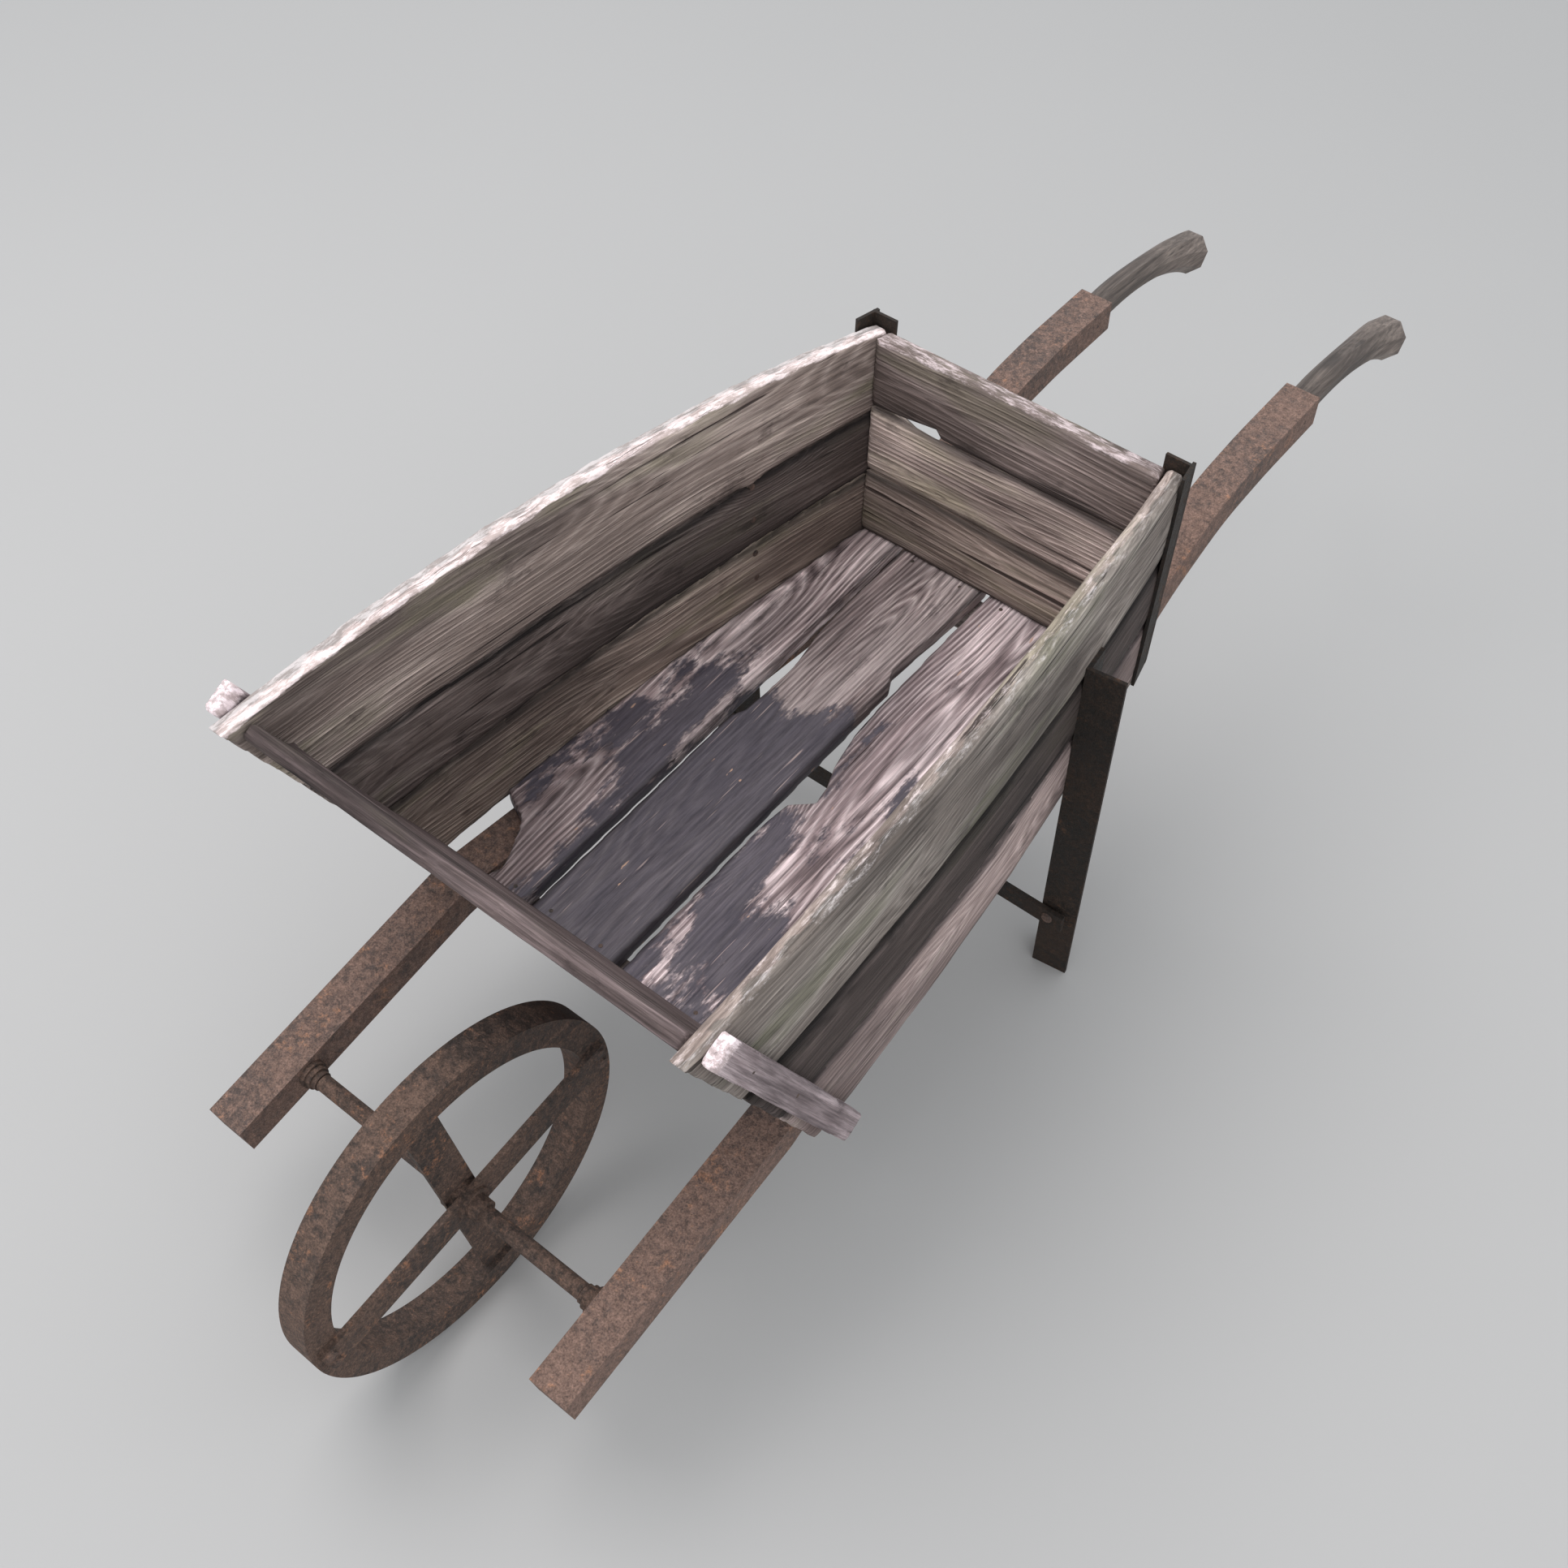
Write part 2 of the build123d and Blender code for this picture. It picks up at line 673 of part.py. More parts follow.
with BuildPart() as leg_rivets:
    shanks(both_sides(leg_rivet_places), rivet_radius, side_thickness + leg_thickness)
save("leg_rivets", leg_rivets.part)

with BuildPart() as brace:
    with BuildSketch(brace_plane):
        Rectangle(2 * (brace_touch_x + brace_overlap), brace_width)
    extrude(amount=brace_thickness)
    holes(brace_rivet_places, rivet_radius, 2 * brace_thickness)
save("leg_brace", brace.part)

with BuildPart() as brace_rivets:
    shanks(brace_rivet_places, rivet_radius, brace_thickness + leg_thickness + rivet_tail)
    for place in brace_rivet_places:
        with BuildSketch(place):
            Circle(rivet_head)
        extrude(amount=rivet_head_height, taper=30)
save("brace_rivets", brace_rivets.part)

# ---------------------------------------------------------------- wheel
wheel_plane = Plane((wheel_offset, axle_y, wheel_radius), x_dir=(0, 1, 0), z_dir=(1, 0, 0))
rim_inner_radius = wheel_radius - rim_thickness
long_spoke_plane = wheel_plane.offset(rim_width / 2)
cross_spoke_plane = wheel_plane.offset(rim_width / 2 - 2 * spoke_thickness)
right_collar_plane = long_spoke_plane.offset(spoke_thickness)
left_collar_plane = Plane(cross_spoke_plane.origin, x_dir=(0, 1, 0), z_dir=(-1, 0, 0))
long_spoke_half = wheel_radius - long_spoke_end_margin

# Rivets fix the long spoke's two ends to the side of the rim.
spoke_rivet_places = []
for end in (-1, 1):
    for across in (-spoke_depth / 4, spoke_depth / 4):
        turn = radians(long_spoke_slope)
        along = end * (wheel_radius - rim_thickness / 2)
        spot = Vector(along * cos(turn) - across * sin(turn), along * sin(turn) + across * cos(turn), 0)
        spoke_rivet_places.append(Plane(right_collar_plane.from_local_coords(spot), z_dir=(1, 0, 0)))

# Rivets through the tread hold the cross spoke's two ends.
cross_spoke_x = wheel_offset + rim_width / 2 - 1.5 * spoke_thickness
tread_rivet_places = []
for end in (-1, 1):
    turn = radians(long_spoke_slope + 90)
    outward = Vector(0, end * cos(turn), end * sin(turn))
    top = Vector(cross_spoke_x, axle_y, wheel_radius) + outward * (wheel_radius - tread_rivet_sink)
    tread_rivet_places.append(Plane(top, z_dir=outward))

with BuildPart() as rim:
    with BuildSketch(wheel_plane):
        Circle(wheel_radius)
        Circle(rim_inner_radius, mode=Mode.SUBTRACT)
    extrude(amount=rim_width / 2, both=True)
    holes(spoke_rivet_places, rivet_radius, spoke_thickness + rim_width / 2)
    raised_places = [place.offset(2 * tread_rivet_sink) for place in tread_rivet_places]
    holes(raised_places, tread_rivet_radius, tread_rivet_length)
save("wheel_rim", rim.part)

with BuildPart() as long_spoke:
    with BuildSketch(long_spoke_plane):
        Rectangle(2 * long_spoke_half, spoke_depth, rotation=long_spoke_slope)
        Circle(axle_radius + fit, mode=Mode.SUBTRACT)
    extrude(amount=spoke_thickness)
    holes(spoke_rivet_places, rivet_radius, 2 * spoke_thickness)
save("long_spoke", long_spoke.part)

with BuildPart() as cross_spoke:
    with BuildSketch(cross_spoke_plane):
        Rectangle(2 * rim_inner_radius + rim_thickness, spoke_depth, rotation=long_spoke_slope + 90)
        Circle(rim_inner_radius - seat, mode=Mode.INTERSECT)
        Circle(axle_radius + fit, mode=Mode.SUBTRACT)
    extrude(amount=spoke_thickness)
    holes(tread_rivet_places, tread_rivet_radius, tread_rivet_length)
save("cross_spoke", cross_spoke.part)

with BuildPart() as hub_spacer:
    with BuildSketch(cross_spoke_plane.offset(spoke_thickness)):
        Circle(hub_flange_radius)
        Circle(axle_radius + fit, mode=Mode.SUBTRACT)
    extrude(amount=spoke_thickness)
save("hub_spacer", hub_spacer.part)

hub_pin_height = hub_flange_length + hub_sleeve_length / 2
hub_pin_places = []
for collar_plane in (left_collar_plane, right_collar_plane):
    spot = collar_plane.from_local_coords(Vector(0, 0, hub_pin_height)) + Vector(0, 0, hub_sleeve_radius)
    hub_pin_places.append(Plane(spot, z_dir=(0, 0, 1)))

for name, collar_plane in (("left", left_collar_plane), ("right", right_collar_plane)):
    with BuildPart() as hub_collar:
        with BuildSketch(collar_plane):
            Circle(hub_flange_radius)
        extrude(amount=hub_flange_length)
        with BuildSketch(collar_plane.offset(hub_flange_length)):
            Circle(hub_sleeve_radius)
        extrude(amount=hub_sleeve_length)
        with Locations(collar_plane):
            Cylinder(axle_radius + fit, 4 * hub_sleeve_length, mode=Mode.SUBTRACT)
        holes(hub_pin_places, hub_pin_radius, 2 * hub_sleeve_radius)
    save(f"hub_collar_{name}", hub_collar.part)

shaft_inner_x = front_half_track - shaft_width / 2
shoulder = shaft_inner_x - bearing_step * len(bearing_radii) - axle_end_play
journal_end = shaft_inner_x + journal_reach
middle_plane = Plane((0, axle_y, wheel_radius), x_dir=(0, 1, 0), z_dir=(1, 0, 0))
with BuildPart() as axle:
    with BuildSketch(middle_plane):
        Circle(axle_radius)
    extrude(amount=shoulder, both=True)
    with BuildSketch(middle_plane):
        Circle(journal_radius)
    extrude(amount=journal_end, both=True)
    holes(hub_pin_places, hub_pin_radius, 2 * hub_sleeve_radius)
save("axle", axle.part)

with BuildPart() as spoke_rivets:
    shanks(spoke_rivet_places, rivet_radius, spoke_thickness + rim_width / 2)
    for place in spoke_rivet_places:
        with BuildSketch(place):
            Circle(rivet_head)
        extrude(amount=rivet_head_height, taper=30)
save("spoke_rivets", spoke_rivets.part)

with BuildPart() as tread_rivets:
    shanks(tread_rivet_places, tread_rivet_radius, tread_rivet_length)
save("tread_rivets", tread_rivets.part)

with BuildPart() as hub_pins:
    shanks(hub_pin_places, hub_pin_radius, 2 * hub_sleeve_radius)
save("hub_pins", hub_pins.part)
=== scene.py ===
# %% [markdown]
# # An old farm wheelbarrow
# The barrow is a tapered tray of weathered boards that sits on two bent iron shafts. The CAD
# model already holds every iron bar at its right size and place. What it lacks is age: torn
# plank edges, split grain, rust and the pale bleaching of wood that has stood outside for years.
# So the irons keep their CAD shapes and get a finish, and every board is made again, rougher.

import json
from math import radians, tau

import bmesh
import bpy
import numpy as np
from mathutils import Matrix, Vector, noise


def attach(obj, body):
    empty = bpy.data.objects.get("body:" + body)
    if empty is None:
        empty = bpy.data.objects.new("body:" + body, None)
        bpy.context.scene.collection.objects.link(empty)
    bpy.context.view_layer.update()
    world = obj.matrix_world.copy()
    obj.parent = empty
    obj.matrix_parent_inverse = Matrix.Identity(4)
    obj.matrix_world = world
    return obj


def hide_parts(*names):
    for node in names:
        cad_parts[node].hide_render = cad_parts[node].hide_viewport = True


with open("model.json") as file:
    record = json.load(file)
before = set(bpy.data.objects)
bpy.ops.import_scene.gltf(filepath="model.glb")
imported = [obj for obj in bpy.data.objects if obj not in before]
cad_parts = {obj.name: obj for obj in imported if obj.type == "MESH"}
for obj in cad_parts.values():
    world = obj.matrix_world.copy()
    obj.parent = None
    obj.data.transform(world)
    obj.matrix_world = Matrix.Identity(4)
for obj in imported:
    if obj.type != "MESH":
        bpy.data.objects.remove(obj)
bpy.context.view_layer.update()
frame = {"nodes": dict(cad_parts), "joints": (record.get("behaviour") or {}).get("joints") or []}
nodes = frame["nodes"]
scene = bpy.context.scene
print("CAD nodes:", len(nodes))

# %% [markdown]
# ## The camera
# The barrow is seen from high up in front of the wheel, a little to its right. A medium lens is
# used, so the wheel end looks larger than the grips. Three turns aim the camera: one raises its
# nose from straight down, one sets its heading, and a last small one tips the whole view.

# %% Camera
camera_place = (0.79784, -1.26388, 1.90351)
nose_up, heading, tip = radians(90 - 51.4502), radians(38.7027), radians(2.94)
camera_data = bpy.data.cameras.new("camera")
camera_data.sensor_width = 36.0
camera_data.lens = 42.73
camera = bpy.data.objects.new("camera", camera_data)
scene.collection.objects.link(camera)
camera.matrix_world = (
    Matrix.Translation(camera_place)
    @ Matrix.Rotation(tip, 4, "X")
    @ Matrix.Rotation(heading, 4, "Z")
    @ Matrix.Rotation(nose_up, 4, "X")
)
scene.camera = camera
print("camera at", camera_place, "with a lens of", camera_data.lens)

# %% [markdown]
# ## The light
# The light is a bright overcast sky with one large soft lamp overhead: tops read lighter than
# sides, and shadows stay faint. A weaker lamp on the front right keeps the irons from going black.

# %% Sky and lamps
scene.view_settings.view_transform = "Standard"
world = bpy.data.worlds.new("overcast")
scene.world = world
world.use_nodes = True
sky = world.node_tree.nodes["Background"]
sky.inputs["Color"].default_value = (0.96, 0.98, 1.0, 1)
sky.inputs["Strength"].default_value = 1.0
tray_middle = Vector((0, 0, 0.3))
lamp_size = 3.0


def soft_lamp(name, place, power, colour):
    """Hangs a large square lamp that points at the tray."""
    lamp = bpy.data.lights.new(name, "AREA")
    lamp.size, lamp.energy, lamp.color = lamp_size, power, colour
    lamp_object = bpy.data.objects.new(name, lamp)
    lamp_object.location = place
    lamp_object.rotation_euler = (tray_middle - Vector(place)).to_track_quat("-Z", "Y").to_euler()
    scene.collection.objects.link(lamp_object)


soft_lamp("overhead", (-1.2, -0.8, 4.2), 110, (1.0, 0.97, 0.96))
soft_lamp("fill", (2.8, -2.6, 2.4), 30, (1.0, 0.98, 0.97))
print("lamps:", len(bpy.data.lights))

# %% [markdown] ## The ground A barrow that floats looks weightless, so it gets a flat, pale
# ground that catches its shadow.

# %% Ground
ground_reach = 40.0
floor_shape = bmesh.new()
bmesh.ops.create_grid(floor_shape, x_segments=1, y_segments=1, size=ground_reach)
floor_mesh = bpy.data.meshes.new("floor")
floor_shape.to_mesh(floor_mesh)
floor_shape.free()
floor = bpy.data.objects.new("floor", floor_mesh)
scene.collection.objects.link(floor)
print("the ground reaches", ground_reach, "m each way")

# %% [markdown]
# ## Tools for wiring materials
# Node trees are quicker to read when each line adds one node and passes its output on. This small
# class holds a tree and offers the handful of nodes that wood and rust need. `streak` is a noise
# drawn out along a board, `paint` lays a colour over a mask, and `shade` multiplies by a grey.


# %% A helper that wires nodes
class Wiring:
    """Adds nodes to one tree and links them as it goes."""

    def __init__(self, tree):
        self.tree = tree

    def feed(self, socket, value):
        if isinstance(value, bpy.types.NodeSocket):
            self.tree.links.new(value, socket)
        elif value is not None:
            socket.default_value = value

    def add(self, kind, **settings):
        made = self.tree.nodes.new(kind)
        for name, value in settings.items():
            setattr(made, name, value)
        return made

    def sum(self, operation, a, b=None, c=None, clamp=False):
        made = self.add("ShaderNodeMath", operation=operation, use_clamp=clamp)
        for socket, value in zip(made.inputs, (a, b, c)):
            self.feed(socket, value)
        return made.outputs[0]

    def cloud(self, vector, scale, detail=3.0, roughness=0.5, distortion=0.0):
        made = self.add("ShaderNodeTexNoise")
        self.feed(made.inputs["Vector"], vector)
        made.inputs["Scale"].default_value = scale
        made.inputs["Detail"].default_value = detail
        made.inputs["Roughness"].default_value = roughness
        made.inputs["Distortion"].default_value = distortion
        return made.outputs["Fac"]

    def stretch(self, vector, factors):
        made = self.add("ShaderNodeVectorMath", operation="MULTIPLY")
        self.feed(made.inputs[0], vector)
        made.inputs[1].default_value = factors
        return made.outputs[0]

    def streak(self, grain, lengthwise, crosswise, detail=3.0, roughness=0.5, distortion=0.0):
        drawn_out = self.stretch(grain, (lengthwise, crosswise, crosswise))
        return self.cloud(drawn_out, 1.0, detail, roughness, distortion)

    def span(self, value, low, high, to_low=0.0, to_high=1.0, smooth=True):
        made = self.add("ShaderNodeMapRange")
        made.interpolation_type = "SMOOTHSTEP" if smooth else "LINEAR"
        self.feed(made.inputs["Value"], value)
        labels = ("From Min", "From Max", "To Min", "To Max")
        for label, number in zip(labels, (low, high, to_low, to_high)):
            self.feed(made.inputs[label], number)
        return made.outputs["Result"]

    def blend(self, amount, a, b, mode="MIX"):
        made = self.add("ShaderNodeMix", data_type="RGBA", blend_type=mode)
        self.feed(made.inputs["Factor"], amount)
        self.feed(made.inputs[6], a)
        self.feed(made.inputs[7], b)
        return made.outputs[2]

    def paint(self, base, mask, strength, colour):
        return self.blend(self.sum("MULTIPLY", mask, strength), base, colour)

    def shade(self, base, grey):
        made = self.add("ShaderNodeCombineColor")
        for socket in made.inputs:
            self.feed(socket, grey)
        return self.blend(1.0, base, made.outputs[0], "MULTIPLY")


print("what Wiring can do:", [name for name in vars(Wiring) if not name.startswith("_")])

# %% [markdown]
# A group is a material's recipe that several finishes can share. Its sockets are the things that
# differ from one finish to the next, such as a board's colours or how much rust there is.

# %% A helper that opens a group
COLOUR, FLOAT, VECTOR = "NodeSocketColor", "NodeSocketFloat", "NodeSocketVector"


def new_group(name, inputs):
    """An empty shader group with named inputs and the three outputs of a finish, and its wiring."""
    tree = bpy.data.node_groups.new(name, "ShaderNodeTree")
    for label, kind, value in inputs:
        socket = tree.interface.new_socket(label, in_out="INPUT", socket_type=kind)
        if value is not None:
            socket.default_value = value
    for label, kind in (("Colour", COLOUR), ("Roughness", FLOAT), ("Height", FLOAT)):
        tree.interface.new_socket(label, in_out="OUTPUT", socket_type=kind)
    wiring = Wiring(tree)
    given = wiring.add("NodeGroupInput").outputs
    return tree, wiring, given, wiring.add("NodeGroupOutput").inputs


print("every group gives a Colour, a Roughness and a Height")

# %% [markdown]
# ## The timber group
# A board is a slice of a log, so its pattern is made the same way: rings around a pith that lies a
# few centimetres under the face. Where the pith wanders, the rings open into tall arches. The
# input vector runs along the board in x, across it in y and through it in z.

# %% The pith of the log
timber_group, w, given, out = new_group(
    "weathered timber",
    [
        ("Vector", VECTOR, None),
        ("Pale", COLOUR, (0.5, 0.43, 0.42, 1)),
        ("Body", COLOUR, (0.2, 0.16, 0.15, 1)),
        ("Dark", COLOUR, (0.03, 0.024, 0.025, 1)),
        ("Stain", COLOUR, (0.15, 0.14, 0.09, 1)),
        ("Stain Amount", FLOAT, 0.0),
        ("Figure", FLOAT, 0.6),
        ("Ring Spacing", FLOAT, 0.006),
        ("Checks", FLOAT, 0.7),
    ],
)
along = given["Vector"]
wander = w.streak(along, 1.1, 4.0, 2.0)
drift = w.streak(along, 1.9, 3.0, 1.0)
parts = w.add("ShaderNodeSeparateXYZ")
w.feed(parts.inputs[0], along)
across = w.sum("MULTIPLY_ADD", wander, 0.08, w.sum("ADD", parts.outputs["Y"], -0.04))
depth = w.sum("MULTIPLY_ADD", drift, 0.15, w.sum("ADD", parts.outputs["Z"], -0.06))
squares = [w.sum("MULTIPLY", offset, offset) for offset in (across, depth)]
radius = w.sum("SQRT", w.sum("ADD", *squares))
print("nodes that place the pith:", len(timber_group.nodes))

# %% [markdown]
# Knots are the stumps of branches. A Voronoi texture scatters cells over the board, a few of them
# are chosen by their random colour, and a chosen cell pushes the rings aside. Sawn wood is never
# quite smooth either, so a narrow noise makes every ring sway a little.

# %% Knots and sway
knot_cells = w.add("ShaderNodeTexVoronoi", feature="F1")
w.feed(knot_cells.inputs["Vector"], w.stretch(along, (2.6, 7.5, 0.0)))
knot_cells.inputs["Scale"].default_value = 1.0
knot_pick = w.add("ShaderNodeSeparateColor")
w.feed(knot_pick.inputs[0], knot_cells.outputs["Color"])
chosen = w.span(knot_pick.outputs[0], 0.55, 0.6)
knot_pull = w.sum("MULTIPLY", w.span(knot_cells.outputs["Distance"], 0.3, 0.0), chosen)
knot_core = w.sum("MULTIPLY", w.span(knot_cells.outputs["Distance"], 0.085, 0.035), chosen)
sway = w.streak(along, 5.0, 45.0, 3.0)
radius = w.sum("MULTIPLY_ADD", knot_pull, 0.035, radius)
radius = w.sum("MULTIPLY_ADD", sway, 0.011, radius)
print("nodes with the knots:", len(timber_group.nodes))

# %% [markdown]
# Each year's growth leaves one thin pale line and one thin dark line: a sine of the distance from
# the pith, raised to a power, gives both. The other layers are streaks of falling width. Broad
# ones carry stains, fine ones are fibres and hairs, and a thresholded one makes drying checks.

# %% Rings, fibres and checks
wave = w.sum("SINE", w.sum("MULTIPLY", w.sum("DIVIDE", radius, given["Ring Spacing"]), tau))
pale_line = w.sum("POWER", w.sum("MULTIPLY_ADD", wave, 0.5, 0.5), 3.0)
dark_line = w.sum("POWER", w.sum("MULTIPLY_ADD", wave, -0.5, 0.5), 4.0)
broad = w.streak(along, 1.9, 5.0, 3.0)
patina = w.streak(along, 3.4, 14.0, 5.0, 0.6)
smudge = w.streak(along, 12.0, 24.0, 6.0, 0.7)
fibre = w.streak(along, 5.0, 150.0, 5.0, 0.7)
hair = w.streak(along, 11.0, 430.0, 5.0, 0.7)
crack_field = w.streak(along, 2.6, 105.0, 3.0, 0.5, 0.25)
crack = w.sum("MULTIPLY", w.span(crack_field, 0.35, 0.3), given["Checks"])
print("nodes with every layer:", len(timber_group.nodes))

# %% [markdown]
# Colour is laid on as the weather does it. Wood starts at its body colour and fades where it is
# bare, moss and dirt settle in patches, and the dark lines, knots and checks come last.

# %% Timber colour
bare = w.span(w.sum("MULTIPLY_ADD", fibre, 0.4, w.sum("MULTIPLY", patina, 1.2)), 0.72, 0.98)
line_strength = w.span(patina, 0.34, 0.52, 0.3, 1.25)
lines = w.sum("MULTIPLY", w.sum("MULTIPLY", pale_line, given["Figure"]), line_strength)
faded = w.sum("MULTIPLY_ADD", bare, 0.72, w.sum("MULTIPLY", lines, 0.35))
tint = w.blend(w.sum("MAXIMUM", lines, faded, clamp=True), given["Body"], given["Pale"])
tint = w.paint(tint, w.span(broad, 0.56, 0.4), 0.6, given["Dark"])
tint = w.paint(tint, w.span(patina, 0.5, 0.66), given["Stain Amount"], given["Stain"])
inked = w.sum("MULTIPLY", dark_line, w.span(fibre, 0.62, 0.4, 0.25, 0.9))
tint = w.paint(tint, inked, given["Figure"], given["Dark"])
tint = w.paint(tint, w.span(smudge, 0.44, 0.3), 0.6, given["Dark"])
hair_grey = w.span(hair, 0.28, 0.72, 0.64, 1.36)
tint = w.shade(tint, w.sum("MULTIPLY", hair_grey, w.span(fibre, 0.3, 0.7, 0.8, 1.22)))
tint = w.paint(tint, knot_core, 0.8, given["Dark"])
w.feed(out["Colour"], w.blend(crack, tint, given["Dark"]))
print("nodes with the colour:", len(timber_group.nodes))

# %% [markdown]
# Soft wood wears away between the hard rings, so the fibres and pale lines stand up and the checks
# cut down. Raised fibres are also a little smoother, as hands and loads touch only them.

# %% Timber relief
w.feed(out["Roughness"], w.span(fibre, 0.3, 0.7, 0.88, 0.7, smooth=False))
height = w.sum("MULTIPLY_ADD", hair, 0.6, w.sum("MULTIPLY", pale_line, 0.4))
height = w.sum("MULTIPLY_ADD", fibre, 1.1, height)
w.feed(out["Height"], w.sum("MULTIPLY_ADD", crack, -1.4, height))
print("timber group:", len(timber_group.nodes), "nodes")

# %% [markdown]
# ## The rust group
# Old iron that is handled and rained on does not turn orange. It goes a dry, mottled brown, with
# a few brighter flecks where the scale has flaked and near-black hollows where it has not. Four
# sizes of noise stand for that: broad stains, mid-sized mottling, flaky scale and fine grit.

# %% Where the rust lies
rust_group, w, given, out = new_group(
    "dry rust",
    [
        ("Vector", VECTOR, None),
        ("Iron", COLOUR, (0.045, 0.036, 0.034, 1)),
        ("Rust", COLOUR, (0.17, 0.1, 0.072, 1)),
        ("Fleck", COLOUR, (0.36, 0.16, 0.08, 1)),
        ("Amount", FLOAT, 0.5),
    ],
)
place = given["Vector"]
stain = w.cloud(place, 7.0, 3.0, 0.55)
mottle = w.cloud(place, 80.0, 8.0, 0.8)
scale = w.cloud(place, 150.0, 6.0, 0.75)
grit = w.cloud(place, 520.0, 3.0, 0.6)
patches = w.sum("MULTIPLY_ADD", stain, 0.9, w.sum("MULTIPLY_ADD", scale, 0.8, -1.5))
patches = w.sum("MULTIPLY_ADD", mottle, 1.5, patches)
cover = w.span(w.sum("MULTIPLY_ADD", given["Amount"], 0.45, patches), 0.02, 0.5)
print("nodes that spread the rust:", len(rust_group.nodes))

# %% [markdown]
# The rust covers the iron, bright flecks lie on the rust, and pits go back to bare iron. The grit
# then darkens and lightens everything by a little, which takes the painted look away.

# %% Rust colour and relief
tint = w.blend(cover, given["Iron"], given["Rust"])
flaked = w.sum("MULTIPLY", w.cloud(place, 24.0, 6.0, 0.72), 0.9)
ochre = w.span(w.sum("MULTIPLY_ADD", scale, 0.6, flaked), 0.82, 0.96)
tint = w.paint(tint, ochre, 0.75, given["Fleck"])
tint = w.paint(tint, w.span(scale, 0.4, 0.3), 0.7, given["Iron"])
grit_grey = w.span(grit, 0.25, 0.75, 0.6, 1.42)
tint = w.shade(tint, w.sum("MULTIPLY", grit_grey, w.span(scale, 0.3, 0.7, 0.72, 1.3)))
w.feed(out["Colour"], tint)
w.feed(out["Roughness"], w.span(cover, 0.0, 1.0, 0.6, 0.86, smooth=False))
raised = w.sum("MULTIPLY_ADD", scale, 0.9, mottle)
w.feed(out["Height"], w.sum("MULTIPLY_ADD", grit, 0.4, raised))
print("rust group:", len(rust_group.nodes), "nodes")


# %% [markdown]
# ## Finishes
# A finish is a material with one Principled shader, fed by a group. Three small helpers start a
# finish, connect it, and read the attributes that a board was given when it was cut.

# %% Helpers for finishes
def finish(name):
    """A material with its Principled shader and the wiring to feed it."""
    material = bpy.data.materials.new(name)
    material.use_nodes = True
    return material, Wiring(material.node_tree), material.node_tree.nodes["Principled BSDF"]


def carry(w, shader, colour, roughness, height, bump):
    """Feeds a colour, a roughness and a height to a shader."""
    w.feed(shader.inputs["Base Color"], colour)
    w.feed(shader.inputs["Roughness"], roughness)
    relief = w.add("ShaderNodeBump")
    relief.inputs["Distance"].default_value = bump
    relief.inputs["Strength"].default_value = 1.0
    w.feed(relief.inputs["Height"], height)
    w.feed(shader.inputs["Normal"], relief.outputs["Normal"])


def attribute(w, name, output="Fac"):
    """Reads one of a board's attributes."""
    return w.add("ShaderNodeAttribute", attribute_name=name).outputs[output]


def slanted(w, grain, turn, lengthwise, crosswise):
    """The grain turned by an angle, for marks that run across it."""
    turned = w.add("ShaderNodeMapping")
    w.feed(turned.inputs["Vector"], grain)
    turned.inputs["Rotation"].default_value = (0, 0, turn)
    turned.inputs["Scale"].default_value = (lengthwise, crosswise, 0.0)
    return turned.outputs[0]


print("finishes read these groups:", timber_group.name, "and", rust_group.name)

# %% [markdown]
# The floor has had stones and soil dragged over it. Where the attribute `worn` is high, the grain
# is rubbed flat and slate grey, with pale scratches in three directions and a few fresh chips.

# %% Rubbed floor
dark_slate, pale_slate = (0.032, 0.03, 0.042, 1), (0.088, 0.081, 0.102, 1)
scratched, chipped = (0.5, 0.4, 0.37, 1), (0.55, 0.36, 0.25, 1)


def rub_smooth(w, grain, colour, roughness, height):
    """Rubs a board smooth and grey wherever it is worn, then scratches it."""
    blotch = w.streak(grain, 5.0, 12.0, 6.0, 0.68)
    rubbed = w.sum("MULTIPLY_ADD", blotch, 2.4, w.sum("ADD", attribute(w, "worn"), -1.2))
    rubbed = w.span(rubbed, 0.42, 0.58)
    scuff = w.streak(grain, 16.0, 190.0, 6.0, 0.75)
    slate = w.blend(w.span(scuff, 0.3, 0.7), dark_slate, pale_slate)
    colour = w.paint(colour, rubbed, 0.94, slate)
    roughness = w.sum("MULTIPLY_ADD", rubbed, -0.26, roughness)
    height = w.sum("MULTIPLY", height, w.span(rubbed, 0.0, 1.0, 1.0, 0.22))
    for turn, rarity in ((0.35, 0.72), (-0.5, 0.73), (1.2, 0.74)):
        scratch = w.cloud(slanted(w, grain, turn, 9.0, 230.0), 1.0, 2.0)
        scratch = w.span(scratch, rarity - 0.03, rarity + 0.02)
        colour = w.paint(colour, scratch, 0.55, scratched)
    chip = w.span(w.streak(grain, 42.0, 110.0, 2.0), 0.73, 0.76)
    return w.paint(colour, chip, 0.75, chipped), roughness, height


print("slate runs from", dark_slate[:3], "to", pale_slate[:3])

# %% [markdown]
# Two things happen at a board's edges. Towards the joints the colour darkens, partly as dirt and partly as
# painted shade between the boards, and splinters lift beside them. The attribute `seam` places both. On
# edges that face the sky, `bleach` lets sun and rain flake the surface to silver.

# %% Shaded, dirty joints and bleached tops
# Near-black for the joints: painted shade between the boards, as well as dirt.
joint_shade_and_dirt = (0.016, 0.013, 0.014, 1)
old_silver, new_silver = (0.46, 0.385, 0.38, 1), (0.86, 0.76, 0.78, 1)


